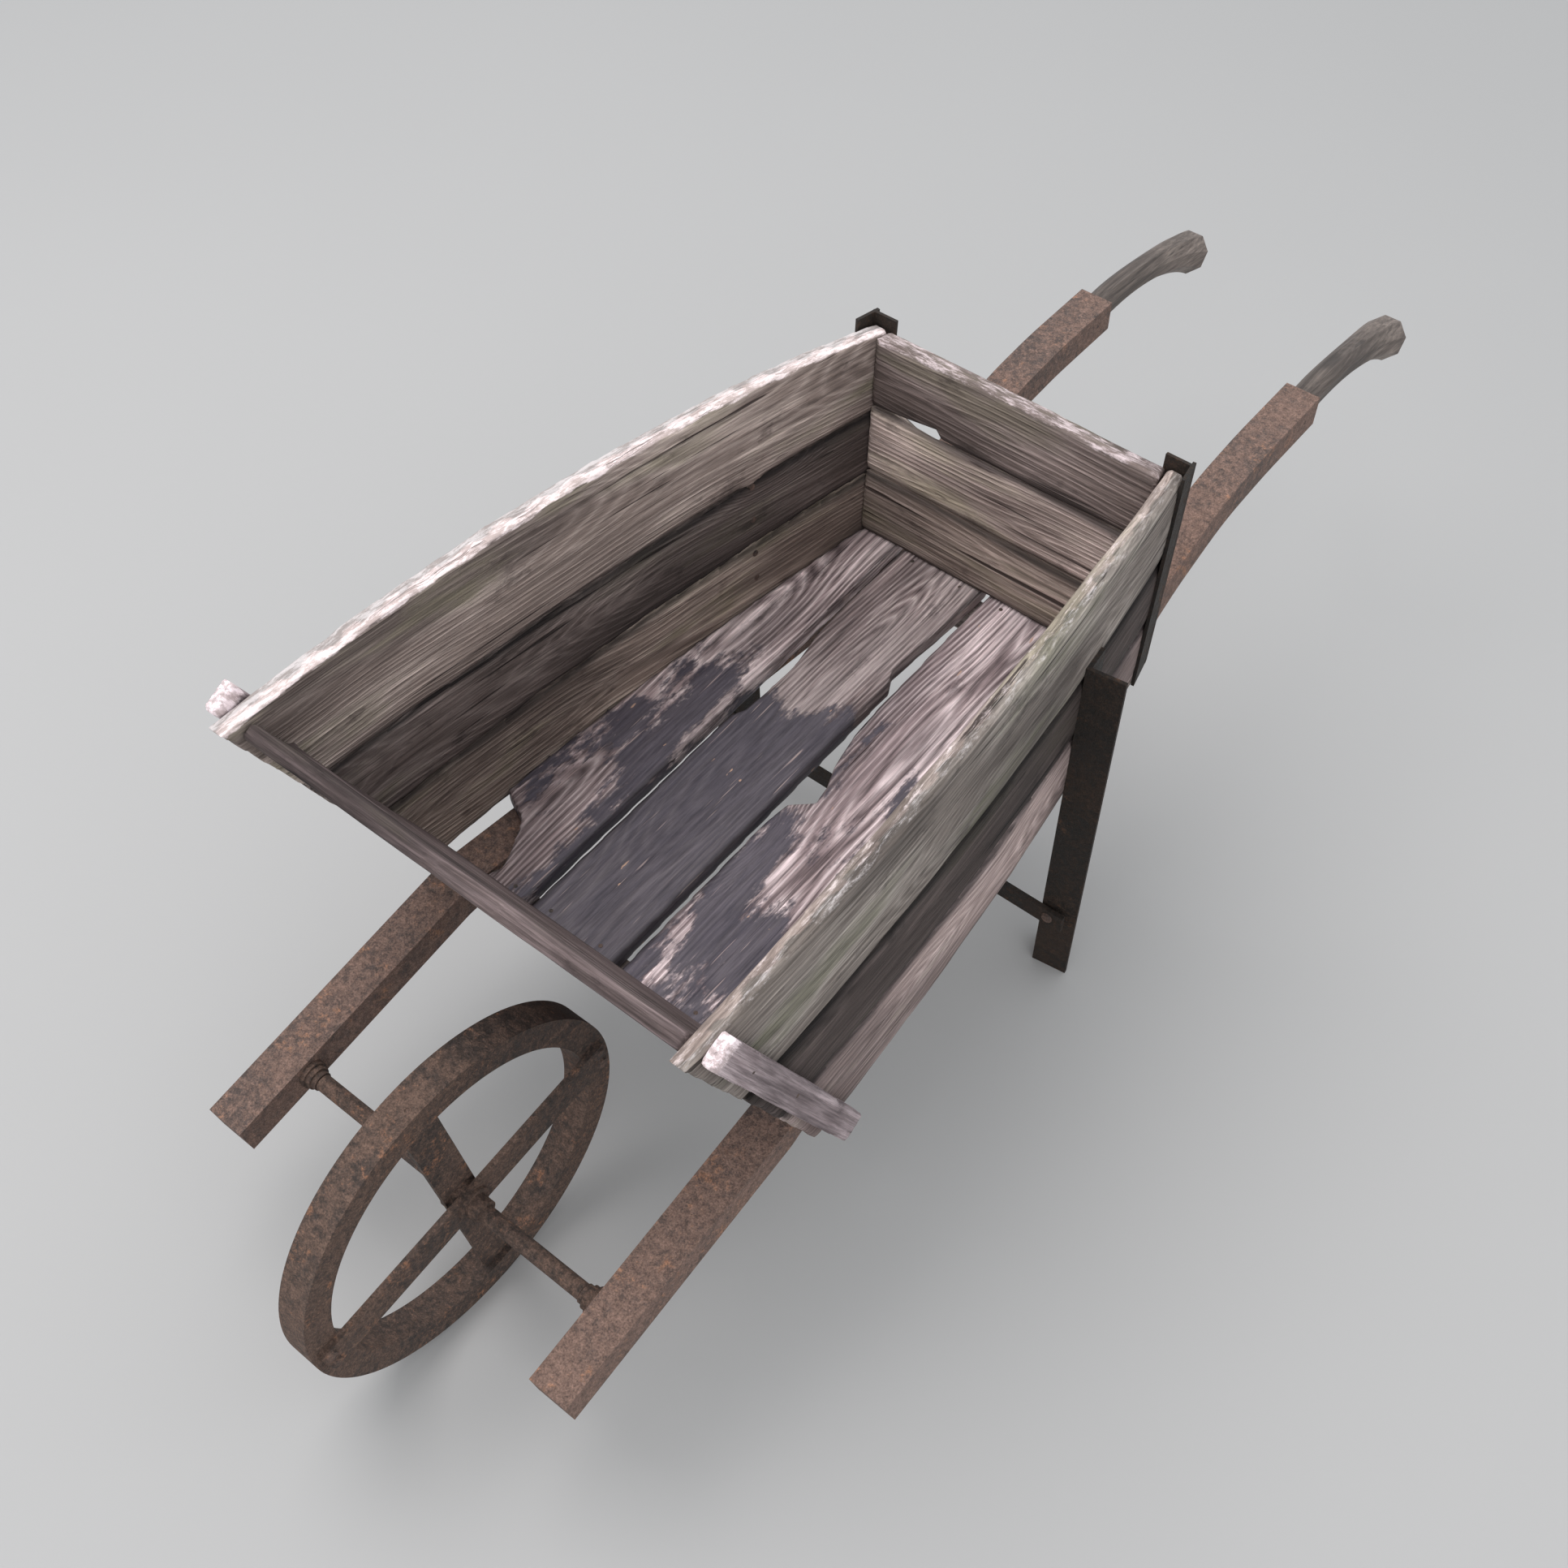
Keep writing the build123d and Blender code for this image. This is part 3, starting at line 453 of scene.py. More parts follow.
def darken_joints(w, grain, colour, dark):
    """Darkens a board towards its joints, as painted shade and dirt, with splinters at the border."""
    seam = attribute(w, "seam")
    splinter = w.cloud(slanted(w, grain, 0.3, 11.0, 120.0), 1.0, 3.0, 0.6)
    splinter = w.sum("MULTIPLY", w.span(splinter, 0.36, 0.28), w.span(seam, 0.02, 0.18))
    colour = w.paint(colour, splinter, 0.85, dark)
    # Painted shade and dirt: the colour darkens towards each joint, where shade falls between boards.
    return w.paint(colour, w.span(seam, 0.2, 0.9), 0.85, joint_shade_and_dirt)


def bleached_tops(w, grain, colour):
    """Flakes the edges that face the sky to silver."""
    exposure = attribute(w, "bleach")
    flake = w.streak(grain, 30.0, 120.0, 8.0, 0.78)
    flaked = w.sum("MULTIPLY_ADD", flake, 1.5, w.sum("ADD", exposure, -0.75))
    flaked = w.sum("MULTIPLY", w.span(flaked, 0.28, 0.62), w.span(exposure, 0.02, 0.2))
    silver = w.blend(w.span(flake, 0.43, 0.58), old_silver, new_silver)
    return w.paint(colour, flaked, 0.92, silver)


print("silver runs from", old_silver[:3], "to", new_silver[:3])

# %% [markdown]
# Every board finish is the same recipe with other colours. `grain` is the board's own lengthwise, crosswise
# and through direction. A brightness factor stored with each point makes one board, or one face of it,
# lighter or darker than its neighbours: partly the boards' own tone, as boards from different trees differ,
# and partly painted light and shade, set to how brightly each face is lit.

# %% Timber finishes
moss = (0.16, 0.15, 0.095)


def timber_node(w, vector, pale, body, dark, figure, spacing, checks):
    """The timber group, set to one kind of wood."""
    wood = w.add("ShaderNodeGroup", node_tree=timber_group)
    w.feed(wood.inputs["Vector"], vector)
    for label, value in (("Pale", pale), ("Body", body), ("Dark", dark)):
        wood.inputs[label].default_value = (*value, 1)
    for label, value in (("Figure", figure), ("Ring Spacing", spacing), ("Checks", checks)):
        wood.inputs[label].default_value = value
    return wood


def timber(name, pale, body, dark, figure, spacing, checks, moss_amount=0.0, worn=False):
    """Weathered wood for boards that carry grain, seam, bleach, worn and a brightness of tone and painted
    light.
    """
    material, w, shader = finish(name)
    shader.inputs["Specular IOR Level"].default_value = 0.3
    grain = attribute(w, "grain", "Vector")
    wood = timber_node(w, grain, pale, body, dark, figure, spacing, checks)
    if moss_amount:
        wood.inputs["Stain"].default_value = (*moss, 1)
        wood.inputs["Stain Amount"].default_value = moss_amount
    colour, roughness, height = (wood.outputs[k] for k in ("Colour", "Roughness", "Height"))
    if worn:
        colour, roughness, height = rub_smooth(w, grain, colour, roughness, height)
    colour = bleached_tops(w, grain, darken_joints(w, grain, colour, (*dark, 1)))
    # Multiplies by each point's brightness factor: board tone, and painted light and shade.
    colour = w.blend(1.0, colour, attribute(w, "tone", "Color"), "MULTIPLY")
    carry(w, shader, colour, roughness, height, 0.0022)
    return material


near_black = (0.04, 0.029, 0.027)
side_timber = timber(
    "side boards", (0.62, 0.53, 0.5), (0.26, 0.21, 0.192), near_black, 0.28, 0.006, 0.95, moss_amount=0.7
)
floor_timber = timber(
    "floor planks", (0.97, 0.85, 0.83), (0.37, 0.295, 0.29), (0.05, 0.036, 0.038), 0.72, 0.0056, 0.55,
    worn=True,
)
panel_timber = timber(
    "end panels", (0.62, 0.52, 0.5), (0.26, 0.21, 0.19), near_black, 0.3, 0.007, 0.95, moss_amount=0.6
)
batten_timber = timber(
    "battens", (0.5, 0.43, 0.44), (0.25, 0.205, 0.21), (0.05, 0.038, 0.04), 0.2, 0.007, 0.5
)
print("timber finishes:", [m.name for m in (side_timber, floor_timber, panel_timber, batten_timber)])

# %% [markdown]
# The grips are the CAD shapes themselves, so they carry no attributes. Their grain runs along the
# barrow, which lets the object coordinates stand in for the board's own: y along, x across. Hands
# have darkened and polished them, so they are smoother than the boards.

# %% Grip finish
grip_wood, w, shader = finish("grip wood")
axes = w.add("ShaderNodeSeparateXYZ")
w.feed(axes.inputs[0], w.add("ShaderNodeTexCoord").outputs["Object"])
turned = w.add("ShaderNodeCombineXYZ")
for target, source in (("X", "Y"), ("Y", "X"), ("Z", "Z")):
    w.feed(turned.inputs[target], axes.outputs[source])
wood = timber_node(
    w, turned.outputs[0], (0.22, 0.18, 0.155), (0.125, 0.098, 0.085), (0.03, 0.023, 0.02), 0.3, 0.008, 0.55
)
polish = w.sum("ADD", wood.outputs["Roughness"], -0.2)
carry(w, shader, wood.outputs["Colour"], polish, wood.outputs["Height"], 0.0008)
print("grip finish:", len(grip_wood.node_tree.nodes), "nodes")


# %% [markdown]
# All the irons share one rust group, each with its own balance of bare iron and rust. The shafts
# are the lightest, the legs and corner irons the darkest, as they have lost less scale.

# %% Rust finishes
def rusty(name, iron, rust, fleck, amount, bump):
    """Rusted iron that reads object coordinates."""
    material, w, shader = finish(name)
    shader.inputs["Metallic"].default_value = 0.0
    shader.inputs["Specular IOR Level"].default_value = 0.4
    rust_node = w.add("ShaderNodeGroup", node_tree=rust_group)
    w.feed(rust_node.inputs["Vector"], w.add("ShaderNodeTexCoord").outputs["Object"])
    for label, value in (("Iron", iron), ("Rust", rust), ("Fleck", fleck)):
        rust_node.inputs[label].default_value = (*value, 1)
    rust_node.inputs["Amount"].default_value = amount
    carry(w, shader, *(rust_node.outputs[k] for k in ("Colour", "Roughness", "Height")), bump)
    return material


shaft_rust = rusty(
    "shaft rust", (0.085, 0.062, 0.055), (0.19, 0.122, 0.098), (0.31, 0.155, 0.09), 0.55, 0.002
)
wheel_rust = rusty(
    "wheel rust", (0.04, 0.029, 0.025), (0.12, 0.076, 0.058), (0.25, 0.115, 0.062), 0.45, 0.002
)
dark_rust = rusty("dark iron", (0.01, 0.007, 0.005), (0.03, 0.018, 0.012), (0.075, 0.037, 0.02), 0.35, 0.002)
nail_rust = rusty("nail iron", (0.03, 0.025, 0.024), (0.11, 0.07, 0.055), (0.2, 0.1, 0.06), 0.4, 0.0005)
print("iron finishes:", [m.name for m in (shaft_rust, wheel_rust, dark_rust, nail_rust)])

# %% [markdown]
# The ground is a matt grey with the faintest clouding, so that it never competes with the wood.

# %% Ground finish
pale_floor, w, shader = finish("pale floor")
haze = w.cloud(w.add("ShaderNodeTexCoord").outputs["Object"], 1.3, 2.0)
w.feed(shader.inputs["Base Color"], w.blend(haze, (0.41, 0.41, 0.41, 1), (0.42, 0.42, 0.42, 1)))
shader.inputs["Roughness"].default_value = 0.9
shader.inputs["Specular IOR Level"].default_value = 0.1
floor.data.materials.append(pale_floor)
print("ground finish:", pale_floor.name)


# %% [markdown]
# ## Dressing the irons
# The irons stay as the CAD made them. A small bevel takes the knife edge off each bar, as years of
# knocks do, and the finish goes into the node's material slot. Nails are too small for a bevel.

# %% Put finishes on the CAD irons
sharp = radians(35)


def dress(names, material, edge):
    """Gives CAD nodes a material and softens their sharp edges."""
    for name in names:
        node = nodes[name]
        node.data.materials.clear()
        node.data.materials.append(material)
        if edge:
            soften = node.modifiers.new("worn edge", "BEVEL")
            soften.width, soften.segments = edge, 2
            soften.limit_method, soften.angle_limit = "ANGLE", sharp


def both(name):
    """The left and the right one of a pair."""
    return [f"{name}_left", f"{name}_right"]


dress(both("shaft"), shaft_rust, 0.0022)
dress(both("axle_bearing") + ["axle", "hub_spacer"], wheel_rust, 0.0006)
dress(both("hub_collar"), wheel_rust, 0.0008)
dress(["wheel_rim", "long_spoke", "cross_spoke"], wheel_rust, 0.0012)
dress(both("leg") + both("corner_iron") + ["leg_brace"], dark_rust, 0.0008)
dress(both("grip"), grip_wood, 0.003)
small_irons = [n for n in nodes if any(word in n for word in ("nail", "rivet", "pins", "screws"))]
dress(small_irons, nail_rust, 0)
print("nodes of nails, rivets, pins and screws:", len(small_irons))


# %% [markdown]
# ## Cutting a rough board
# Each board starts as its CAD twin. The nail holes are plugged, so the wood closes round its nails,
# and a voxel remesh turns the six flat faces into an even skin that can be worn away. This is
# closer to what weather does than bevelling a box. First, the nails themselves are measured.

# %% Find the nails
def loose_parts(shape):
    """Groups of joined vertices."""
    left = set(shape.verts)
    while left:
        group, edge = set(), [left.pop()]
        while edge:
            vert = edge.pop()
            group.add(vert)
            for link in vert.link_edges:
                other = link.other_vert(vert)
                if other in left:
                    left.remove(other)
                    edge.append(other)
        yield group


def nail_lines():
    """Centre, direction and radius of every nail and rivet that goes through wood."""
    lines = []
    for name in ("floor_nails", "front_board_nails", "batten_nails", "corner_iron_nails", "leg_rivets"):
        shape = bmesh.new()
        shape.from_mesh(nodes[name].data)
        bmesh.ops.remove_doubles(shape, verts=shape.verts, dist=1e-6)
        for group in loose_parts(shape):
            points = np.array([v.co for v in group])
            centre = points.mean(0)
            direction = np.linalg.svd(points - centre)[2][0]
            off = points - centre - np.outer((points - centre) @ direction, direction)
            lines.append((centre, direction, np.linalg.norm(off, axis=1).max()))
        shape.free()
    return lines


nails = nail_lines()
print("nails and rivets through wood:", len(nails))

# %% [markdown]
# A plug is a short cylinder, a hair wider than the hole and exactly as long as the board is thick.
# A board is plugged only where its own points ring a nail's line.

# %% Plug the nail holes
hole_slack, plug_slack = 0.0003, 0.0004
fewest_rim_points, plug_sides = 6, 16


def plug_holes(shape):
    """Fills each nail hole of a board with a round plug of the board's own thickness."""
    points = np.array([v.co for v in shape.verts])
    for centre, direction, radius in nails:
        reach = (points - centre) @ direction
        off = np.linalg.norm(points - centre - np.outer(reach, direction), axis=1)
        rim = reach[off < radius + hole_slack]
        if len(rim) < fewest_rim_points:
            continue
        middle = centre + direction * (rim.max() + rim.min()) / 2
        turn = Vector(direction).to_track_quat("Z", "Y").to_matrix().to_4x4()
        bmesh.ops.create_cone(
            shape,
            cap_ends=True,
            segments=plug_sides,
            radius1=radius + plug_slack,
            radius2=radius + plug_slack,
            depth=rim.max() - rim.min(),
            matrix=Matrix.Translation(middle) @ turn,
        )


print("plugs are wider than their nails by", plug_slack, "m")

# %% [markdown]
# The remesh works on voxels a little under 4 mm wide: fine enough for a chipped edge, coarse enough
# to stay light. A Boolean modifier may first take a broken piece off with a cutter.

# %% Remesh a board
voxel = 0.0038


def rough_copy(node_name, name, cutter=None):
    """A closed, evenly meshed copy of a board's CAD node, with its nail holes plugged."""
    shape = bmesh.new()
    shape.from_mesh(nodes[node_name].data)
    bmesh.ops.remove_doubles(shape, verts=shape.verts, dist=1e-6)
    plug_holes(shape)
    mesh = bpy.data.meshes.new(name)
    shape.to_mesh(mesh)
    shape.free()
    board = bpy.data.objects.new(name, mesh)
    scene.collection.objects.link(board)
    if cutter:
        cut = board.modifiers.new("broken off", "BOOLEAN")
        cut.operation, cut.object, cut.solver = "DIFFERENCE", cutter, "EXACT"
    skin = board.modifiers.new("even skin", "REMESH")
    skin.mode, skin.voxel_size = "VOXEL", voxel
    bpy.context.view_layer.update()
    baked = bpy.data.meshes.new_from_object(board.evaluated_get(bpy.context.evaluated_depsgraph_get()))
    board.modifiers.clear()
    board.data = baked
    return board


print("boards are remeshed at", voxel, "m")

# %% [markdown]
# ## Weathering a board
# Along its length, a board's two edges are found by sorting its points into short slices. With the
# edges known, damage can be placed: noise from 0 to 1 for general wear, and named bites for the
# notches that are there on purpose.

# %% Find a board's edges
AXES = {"x": 0, "y": 1, "z": 2}
axle = frame["joints"][0]["pos_m"]
behind = axle[1]


def edge_lines(along, across, slice_length=0.012):
    """For every point, where the board's low and high edges are in its slice."""
    slots = ((along - along.min()) / slice_length).astype(int)
    low = np.full(slots.max() + 1, np.inf)
    high = np.full(slots.max() + 1, -np.inf)
    np.minimum.at(low, slots, across)
    np.maximum.at(high, slots, across)
    middle = along.min() + (np.arange(len(low)) + 0.5) * slice_length
    good = np.isfinite(low)
    return np.interp(along, middle[good], low[good]), np.interp(along, middle[good], high[good])


def ragged(values, seed, size):
    """Smooth noise from 0 to 1 at each value, one feature per size."""
    keys = np.linspace(values.min(), values.max(), 600)
    heights = [0.5 + 0.5 * noise.noise(Vector((k / size, seed * 7.31, 0.37))) for k in keys]
    return np.interp(values, keys, np.clip(heights, 0, 1))


def bitten(values, bites):
    """Depth of an edge's bites at each value, from (where, depth) pairs in order."""
    if not bites:
        return np.zeros_like(values)
    where, deep = zip(*bites)
    return np.interp(values, where, deep, left=0, right=0)


print("the axle lies at y =", round(behind, 4))

# %% [markdown]
# Wood wears from its edges inward and along its grain. The edges are eaten back most, their
# corners round over, the sawn ends fray, and the faces get shallow furrows. Each is a push on the
# points, which fades out towards the middle of the board.


# %% Wear the edges, ends and faces
patch_size, chip_size, splinter_size, sink_size = 0.11, 0.022, 0.016, 0.07
edge_reach, corner_reach, end_reach = 0.014, 0.007, 0.02
half_thickness = 0.012


def eat_edges(points, axes, through, edges, seed, slant):
    """Pushes both long edges inward, by noise and by their bites."""
    i, j, _ = axes
    for side, (distance, sign, bites, wear) in enumerate(edges):
        eaten = wear * ragged(points[:, i], seed + side, patch_size)
        chips = np.maximum(0, ragged(points[:, i], seed + side + 9, chip_size) - 0.5)
        eaten += wear * 0.6 * chips * 2
        eaten += bitten(points[:, i], bites) * (1 + slant * np.clip(through / half_thickness, -1, 1))
        fade = np.clip(1 - distance / np.maximum(edge_reach, 3 * eaten), 0, 1) ** 2
        points[:, j] += sign * eaten * fade


def round_corners(points, axes, through, near_edge, seed, depth):
    """Sinks the faces towards the long edges."""
    i, _, k = axes
    uneven = 0.4 + 1.2 * ragged(points[:, i], seed + 5, sink_size)
    sunk = depth * np.exp(-near_edge / corner_reach) * uneven
    points[:, k] -= np.sign(through) * sunk * np.clip(np.abs(through) / 0.008, 0, 1)


def fray_ends(points, axes, seed, wear):
    """Pushes the sawn ends inward and returns where the far end was."""
    i, j, _ = axes
    start, stop = edge_lines(points[:, j], points[:, i])
    for distance, sign, side in ((points[:, i] - start, 1, 3), (stop - points[:, i], -1, 4)):
        eaten = wear * ragged(points[:, j], seed + side, splinter_size)
        points[:, i] += sign * eaten * np.clip(1 - distance / end_reach, 0, 1) ** 2
    return stop


def furrows(points, axes, seed):
    """Height of the furrows that follow the grain, at each point."""
    i, j, k = axes
    wide = [noise.noise(Vector((p[i] * 9 + seed, p[j] * 95, p[k] * 60))) for p in points]
    fine = [noise.noise(Vector((p[i] * 24, p[j] * 260, seed))) for p in points]
    return np.array(wide) + 0.5 * np.array(fine)


print("ways to wear a board:", [step.__name__ for step in (eat_edges, round_corners, fray_ends, furrows)])

# %% [markdown]
# A leaning board is turned upright first, so that the same steps fit every board, and turned back
# at the end. `through` is each point's place in the board's own thickness, measured from its
# middle, because the side boards are bowed.

# %% Weather one board
furrow_depth = 0.0007


def weather(board, long_axis, wide_axis, seed, wear, low_bites=(), high_bites=(), end_wear=0.002,
            round_over=0.0, slant=0.0, lean=0.0, low_wear=None):
    """Erodes a board's edges, ends and faces and returns its points in board terms."""
    mesh = board.data
    points, normals = np.zeros(len(mesh.vertices) * 3), np.zeros(len(mesh.vertices) * 3)
    mesh.vertices.foreach_get("co", points)
    mesh.vertices.foreach_get("normal", normals)
    upright = np.array(Matrix.Rotation(-lean, 3, "X"))
    points, normals = points.reshape(-1, 3) @ upright.T, normals.reshape(-1, 3) @ upright.T
    i, j = AXES[long_axis], AXES[wide_axis]
    k = 3 - i - j
    axes = (i, j, k)
    low, high = edge_lines(points[:, i], points[:, j])
    from_low, from_high = points[:, j] - low, high - points[:, j]
    back, front = edge_lines(points[:, i], points[:, k])
    through = points[:, k] - (back + front) / 2
    low_edge = (from_low, 1, low_bites, wear if low_wear is None else low_wear)
    high_edge = (from_high, -1, high_bites, wear)
    eat_edges(points, axes, through, (low_edge, high_edge), seed, slant)
    round_corners(points, axes, through, np.minimum(from_low, from_high), seed, round_over)
    stop = fray_ends(points, axes, seed, end_wear)
    relief = furrow_depth * furrows(points, axes, seed)
    points += normals * np.minimum(relief, furrow_depth * 0.2)[:, None]
    mesh.vertices.foreach_set("co", (points @ upright).ravel())
    from_top = from_high if wide_axis == "z" else stop - points[:, i]
    return points, normals, through, axes, from_low, from_high, from_top


print("furrow depth:", furrow_depth, "m")

# %% [markdown]
# The finish needs to know things that only the shape can tell: which way the grain runs, how near
# a joint is, and which faces see the sky or the inside of the tray. They are stored as attributes,
# one value per point. Each seed takes its board from another stretch of the log, nearer to the
# pith or further off. The new board then stands for its CAD node and rides on the same body.


# %% Make one board
log_step, pith_step = 1.7, 0.009


def store(mesh, name, values, kind="FLOAT"):
    """Writes an attribute with one value per point."""
    layer = mesh.attributes.new(name, kind, "POINT")
    field = {"FLOAT": "value", "FLOAT_VECTOR": "vector", "FLOAT_COLOR": "color"}[kind]
    layer.data.foreach_set(field, np.asarray(values, dtype=np.float32).ravel())


def make_board(node_name, long_axis, wide_axis, material, seed, wear, tone, back_tone=None,
               bleach=0.0, reach=0.008, seam=1.0, seam_width=0.005, worn=((0, 0),), cutter=None,
               slot="weathered_wood", **more):
    """Cuts, weathers and finishes one board, and lets it stand for its CAD node."""
    board = rough_copy(node_name, f"rough_{node_name}", cutter)
    points, normals, through, (i, j, k), from_low, from_high, from_top = weather(
        board, long_axis, wide_axis, seed, wear, **more
    )
    mesh = board.data
    lengthwise = points[:, i] + log_step * seed
    crosswise = points[:, j] - points[:, j].mean() + pith_step * ((seed * 5) % 7 - 3)
    store(mesh, "grain", np.stack([lengthwise, crosswise, through], axis=1), "FLOAT_VECTOR")

    from_edge = from_low if bleach and wide_axis == "z" else np.minimum(from_low, from_high)
    width = seam_width * (0.5 + 1.6 * ragged(points[:, i], seed + 6, 0.09))
    on_face = np.clip(np.abs(normals[:, k]) * 1.3, 0, 1)
    store(mesh, "seam", seam * np.exp(-np.clip(from_edge, 0, 1) / width) * on_face)

    top_line = points[:, i] if wide_axis == "z" else points[:, j]
    depth = reach * (0.4 + 1.2 * ragged(top_line, seed + 7, 0.03))
    store(mesh, "bleach", bleach * np.clip(1.15 - np.abs(from_top) / depth, 0, 1))

    # Each face gets a brightness factor, with inner and outer faces set apart: partly the board's own tone,
    # partly painted light and shade.
    inward = (normals[:, k] * points[:, k])[:, None] < 0
    tones = np.where(inward, tone, back_tone or tone)
    store(mesh, "tone", np.hstack([tones, np.ones((len(points), 1))]), "FLOAT_COLOR")
    where, level = zip(*worn)
    store(mesh, "worn", np.interp(points[:, i] - behind, where, level))

    mesh.materials.clear()
    mesh.materials.append(material)
    mesh.shade_smooth()
    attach(board, "barrow")
    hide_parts(node_name)
    return board


print("boards will ride on the barrow")

# %% [markdown]
# ## The floor planks
# Four planks run lengthwise with open joints between them. Loads have been dragged out over the
# front, so that end is rubbed smooth and slate grey, while the rear still shows its grain. The
# left plank has lost its outer front corner. No plane can cut a torn corner, so the cutter is a
# ragged outline, pushed through the plank as a block.


# %% The torn corner
def cutter_block(outline, low, high):
    """A block with a ragged outline, seen from above, between two heights."""
    shape = bmesh.new()
    face = shape.faces.new([shape.verts.new((x, behind + y, low)) for x, y in outline])
    raised = bmesh.ops.extrude_face_region(shape, geom=[face])["geom"]
    tops = [g for g in raised if isinstance(g, bmesh.types.BMVert)]
    bmesh.ops.translate(shape, verts=tops, vec=(0, 0, high - low))
    bmesh.ops.recalc_face_normals(shape, faces=shape.faces)
    mesh = bpy.data.meshes.new("cutter")
    shape.to_mesh(mesh)
    shape.free()
    block = bpy.data.objects.new("cutter", mesh)
    scene.collection.objects.link(block)
    return block


torn_outline = [
    (-0.30, 0.370),
    (-0.249, 0.354),
    (-0.235, 0.347),
    (-0.211, 0.335),
    (-0.200, 0.315),
    (-0.187, 0.288),
    (-0.183, 0.273),
    (-0.190, 0.257),
    (-0.196, 0.20),
    (-0.30, 0.20),
]
torn_corner = cutter_block(torn_outline, 0.2, 0.5)
make_board(
    "floor_plank_outer_left", "y", "x", floor_timber, 1, 0.0012, (1, 0.96, 0.98), cutter=torn_corner,
    worn=((0.25, 0.42), (0.42, 0.5), (0.5, 0.66), (0.62, 0.62), (0.7, 0.05)),
)
bpy.data.objects.remove(torn_corner)
print("outer left plank laid, with", len(torn_outline), "points round its torn corner")

# %% [markdown]
# The inner planks have long, shallow hollows where they have split away beside the joints, and one
# deep notch. A bite is a place and a depth. All places, also those of the rubbed patches, are
# distances behind the axle.

# %% The other planks
def behind_axle(*pairs):
    """Bites whose places are given as distances behind the axle."""
    return tuple((behind + distance, depth) for distance, depth in pairs)


joint_split = behind_axle((0.59, 0), (0.605, 0.009), (0.66, 0.012), (0.7, 0.011), (0.74, 0.004), (0.78, 0))
rear_hollow = behind_axle((0.735, 0), (0.755, 0.01), (0.80, 0.008), (0.86, 0.003), (0.9, 0))
deep_notch = behind_axle(
    (0.5, 0), (0.53, 0.005), (0.55, 0.028), (0.575, 0.024), (0.6, 0.014), (0.65, 0.004), (0.7, 0)
)
make_board(
    "floor_plank_inner_left", "y", "x", floor_timber, 2, 0.001, (1, 0.97, 0.97),
    low_bites=joint_split, high_bites=rear_hollow,
    worn=((0.25, 1.0), (0.5, 1.0), (0.63, 0.75), (0.7, 0.2), (0.75, 0)),
)
make_board(
    "floor_plank_inner_right", "y", "x", floor_timber, 3, 0.0012, (1, 0.96, 1.0), low_bites=deep_notch,
    worn=((0.25, 0.7), (0.35, 0.56), (0.5, 0.5), (0.66, 0.4), (0.76, 0)),
)
make_board(
    "floor_plank_outer_right", "y", "x", floor_timber, 4, 0.002, (0.95, 0.92, 0.93),
    worn=((0.25, 0.7), (0.5, 0.5), (0.74, 0)),
)
print("floor planks laid:", len([n for n in nodes if n.startswith("floor_plank")]))

# %% [markdown]
# ## Sides
# Each side is three wide boards. The joints between them have rounded over and are darkened, partly with
# dirt and partly with painted shade, so they read as dark lines. The top edges face the sky: they are
# chipped and bleached nearly white on the left, and to a pale grey on the right. Each board has one
# brightness for its inner face and one for its outer face, partly its own tone and partly painted light and
# shade for how each face is lit.

# %% Side boards
levels = ("bottom", "middle", "top")
# Brightness of each board's inner and outer face: partly its own tone, partly painted light and shade for
# how brightly each face is lit.
inside = {"bottom": (1.25, 1.2, 1.12), "middle": (0.55, 0.53, 0.53), "top": (1.15, 1.13, 1.1)}
outside = {"bottom": (1.45, 1.38, 1.42), "middle": (0.22, 0.2, 0.2), "top": (0.75, 0.79, 0.77)}
open_wear, joint_wear = 0.005, 0.0005
for seed, level in enumerate(levels, start=5):
    top = level == "top"
    for side, bleach, other_tree in (("left", 1.0, 0), ("right", 0.3, 4)):
        make_board(
            f"side_board_{level}_{side}", "y", "z", side_timber, seed + other_tree,
            open_wear if top else joint_wear, inside[level], outside[level], bleach if top else 0.0,
            low_wear=joint_wear, end_wear=0.006, round_over=0.004, seam_width=0.009,
        )
print("side boards fitted:", 2 * len(levels))
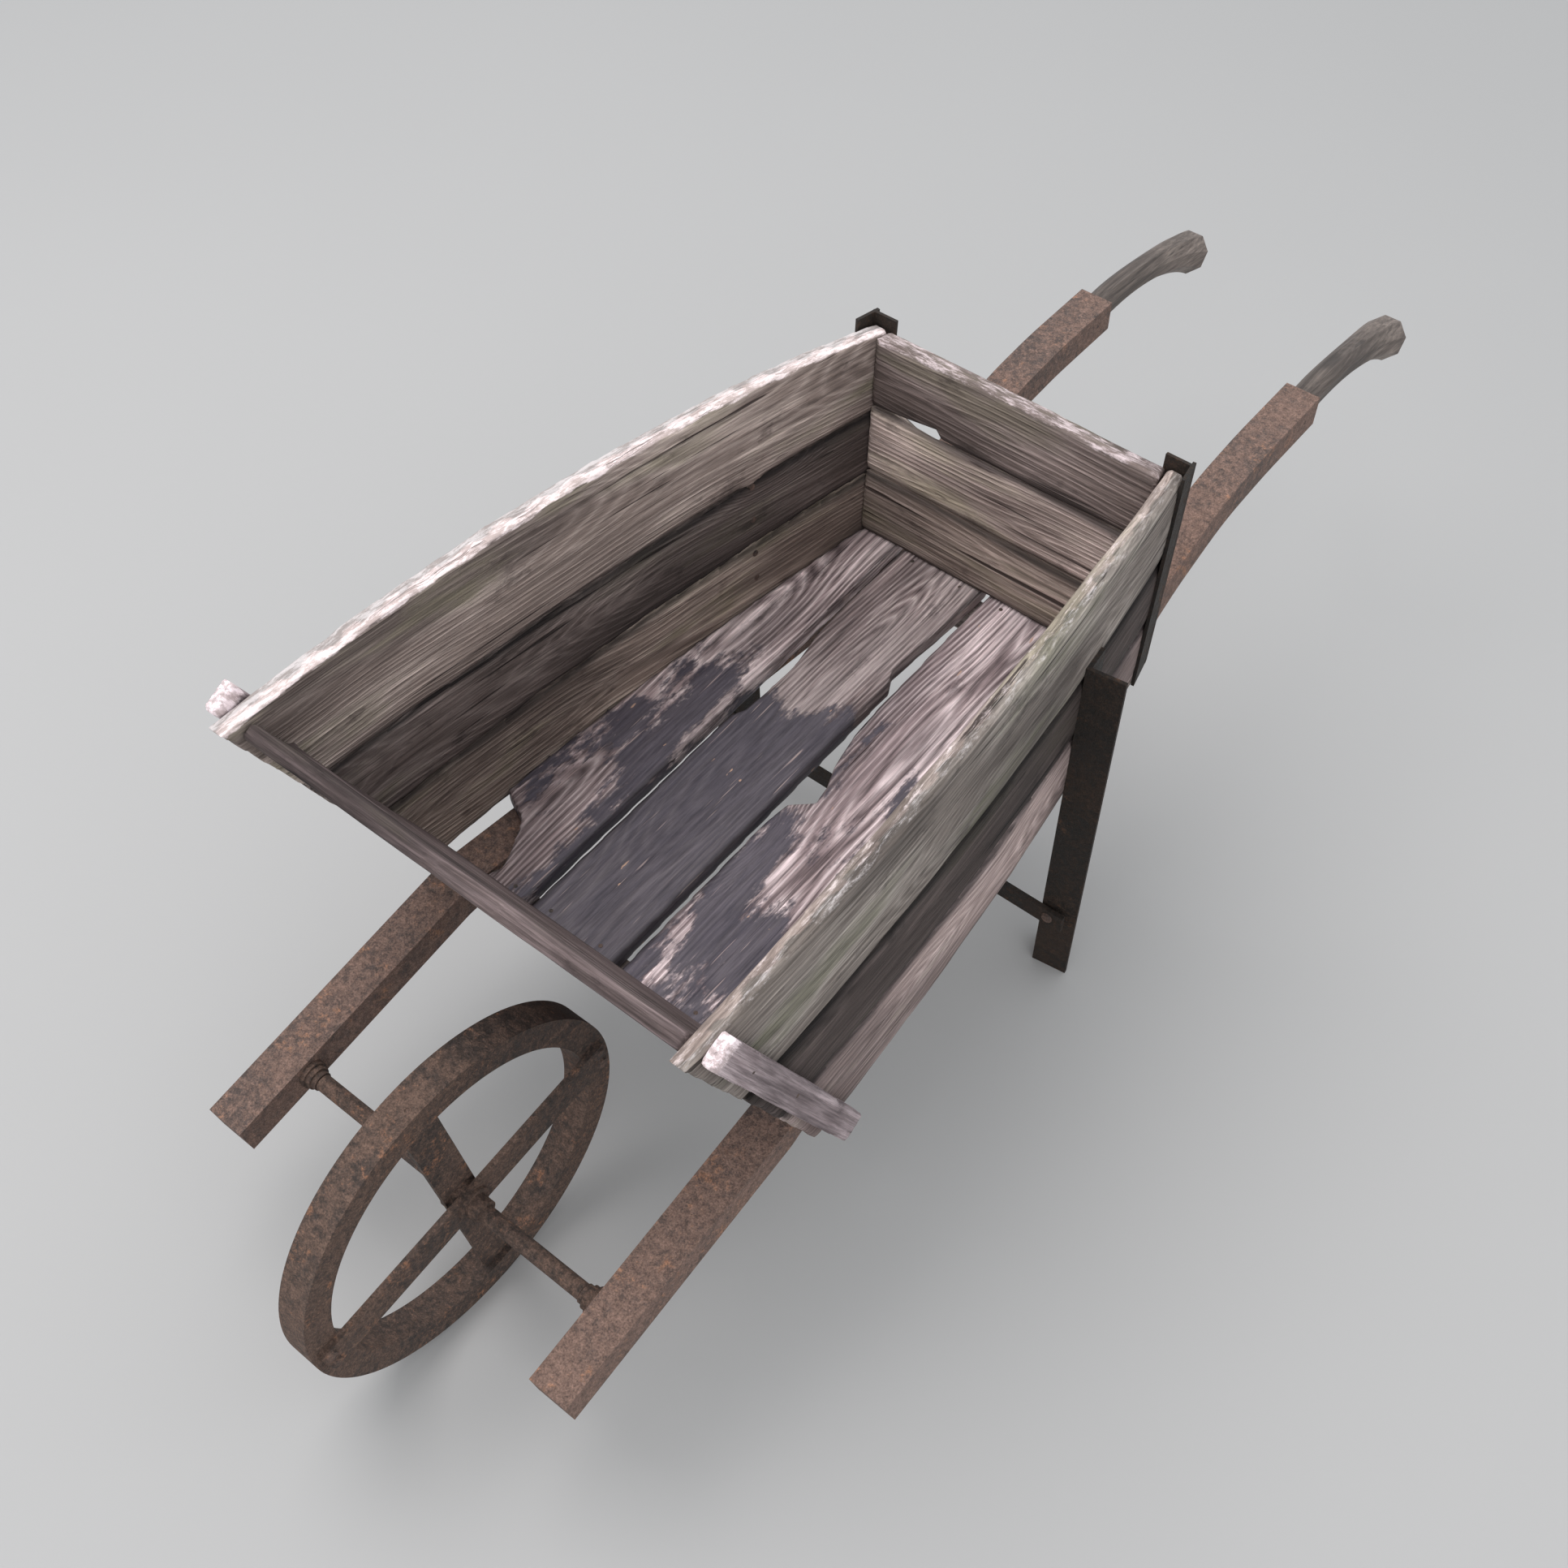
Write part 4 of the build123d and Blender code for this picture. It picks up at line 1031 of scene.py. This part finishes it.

# %% [markdown]
# ## Rear panel
# The rear panel stands upright between the sides. Its boards have shrunk: a wedge of daylight shows
# between the upper two, on the left. The wedge is a bite out of each, slanted down towards the
# outside, so that it can be seen through from above.

# %% Rear tones and wedge
# Brightness of each rear board: partly its own tone, partly painted light and shade for how brightly each
# board is lit.
rear_tones = {"bottom": (1.23, 1.18, 1.11), "middle": (2.1, 2.04, 2.0), "top": (0.82, 0.785, 0.785)}
bite_below = {"high_bites": ((-0.175, 0), (-0.095, 0.0148), (-0.085, 0.008), (-0.03, 0)), "slant": 1.0}
bite_above = {"low_bites": ((-0.175, 0), (-0.092, 0.0056), (-0.085, 0)), "slant": -1.0}
wedge = {"bottom": {}, "middle": bite_below, "top": bite_above}
print("rear tones:", rear_tones)

# %% [markdown]
# ## Front panel
# The front panel leans out over the wheel, so its boards are weathered in their own upright frame.
# The lean is measured from the batten beside it: the longest direction of the batten's points.

# %% Measure the front's lean
batten_points = np.array([v.co for v in nodes["front_batten_left"].data.vertices])[:, 1:]
run = np.linalg.svd(batten_points - batten_points.mean(0), full_matrices=False)[2][0]
front_lean = -float(np.arctan(run[0] / run[1]))
# The front panel lies in shade, and this darker colour for it is painted shade.
front_tone = (0.42, 0.385, 0.41)
print("the front leans by", round(front_lean, 3), "rad")

# %% [markdown]
# Both panels go up board by board. But for its wedge, the rear panel keeps tight joints, and it wears mostly
# at its top edge. The front one wears alike at every edge. It lies in shade, and its darker colour is
# painted shade.

# %% Rear and front boards
for seed, level in enumerate(levels, start=14):
    top = level == "top"
    make_board(
        f"rear_board_{level}", "x", "z", panel_timber, seed, 0.003 if top else joint_wear,
        rear_tones[level], low_wear=joint_wear, bleach=0.42 if top else 0.0, round_over=0.003,
        seam_width=0.009, **wedge[level],
    )
    make_board(
        f"front_board_{level}", "x", "z", panel_timber, seed + 5, 0.003, front_tone,
        bleach=0.12 if top else 0.0, seam=0.6, end_wear=0.001, round_over=0.002, lean=front_lean,
    )
print("end boards fitted:", 2 * len(levels))

# %% [markdown]
# ## Battens and bearers
# A raking batten holds the front ends of each side together. Its sawn top end stands clear of the
# boards and is the brightest spot of the whole barrow. The bearers under the floor are only seen
# from below, but they get the same care.

# %% Battens and bearers
for side, seed in (("left", 24), ("right", 27)):
    make_board(
        f"front_batten_{side}", "z", "y", batten_timber, seed, 0.0012, (1.25, 1.22, 1.24),
        bleach=1.0, reach=0.026, seam=0.15, end_wear=0.004, lean=front_lean,
    )
for end, seed in (("front", 30), ("rear", 31)):
    make_board(f"{end}_bearer", "x", "y", panel_timber, seed, 0.001, (0.7, 0.7, 0.7), seam=0.3)

# %% [markdown] ## The end The finished barrow is meant to fill the same box as the CAD model.
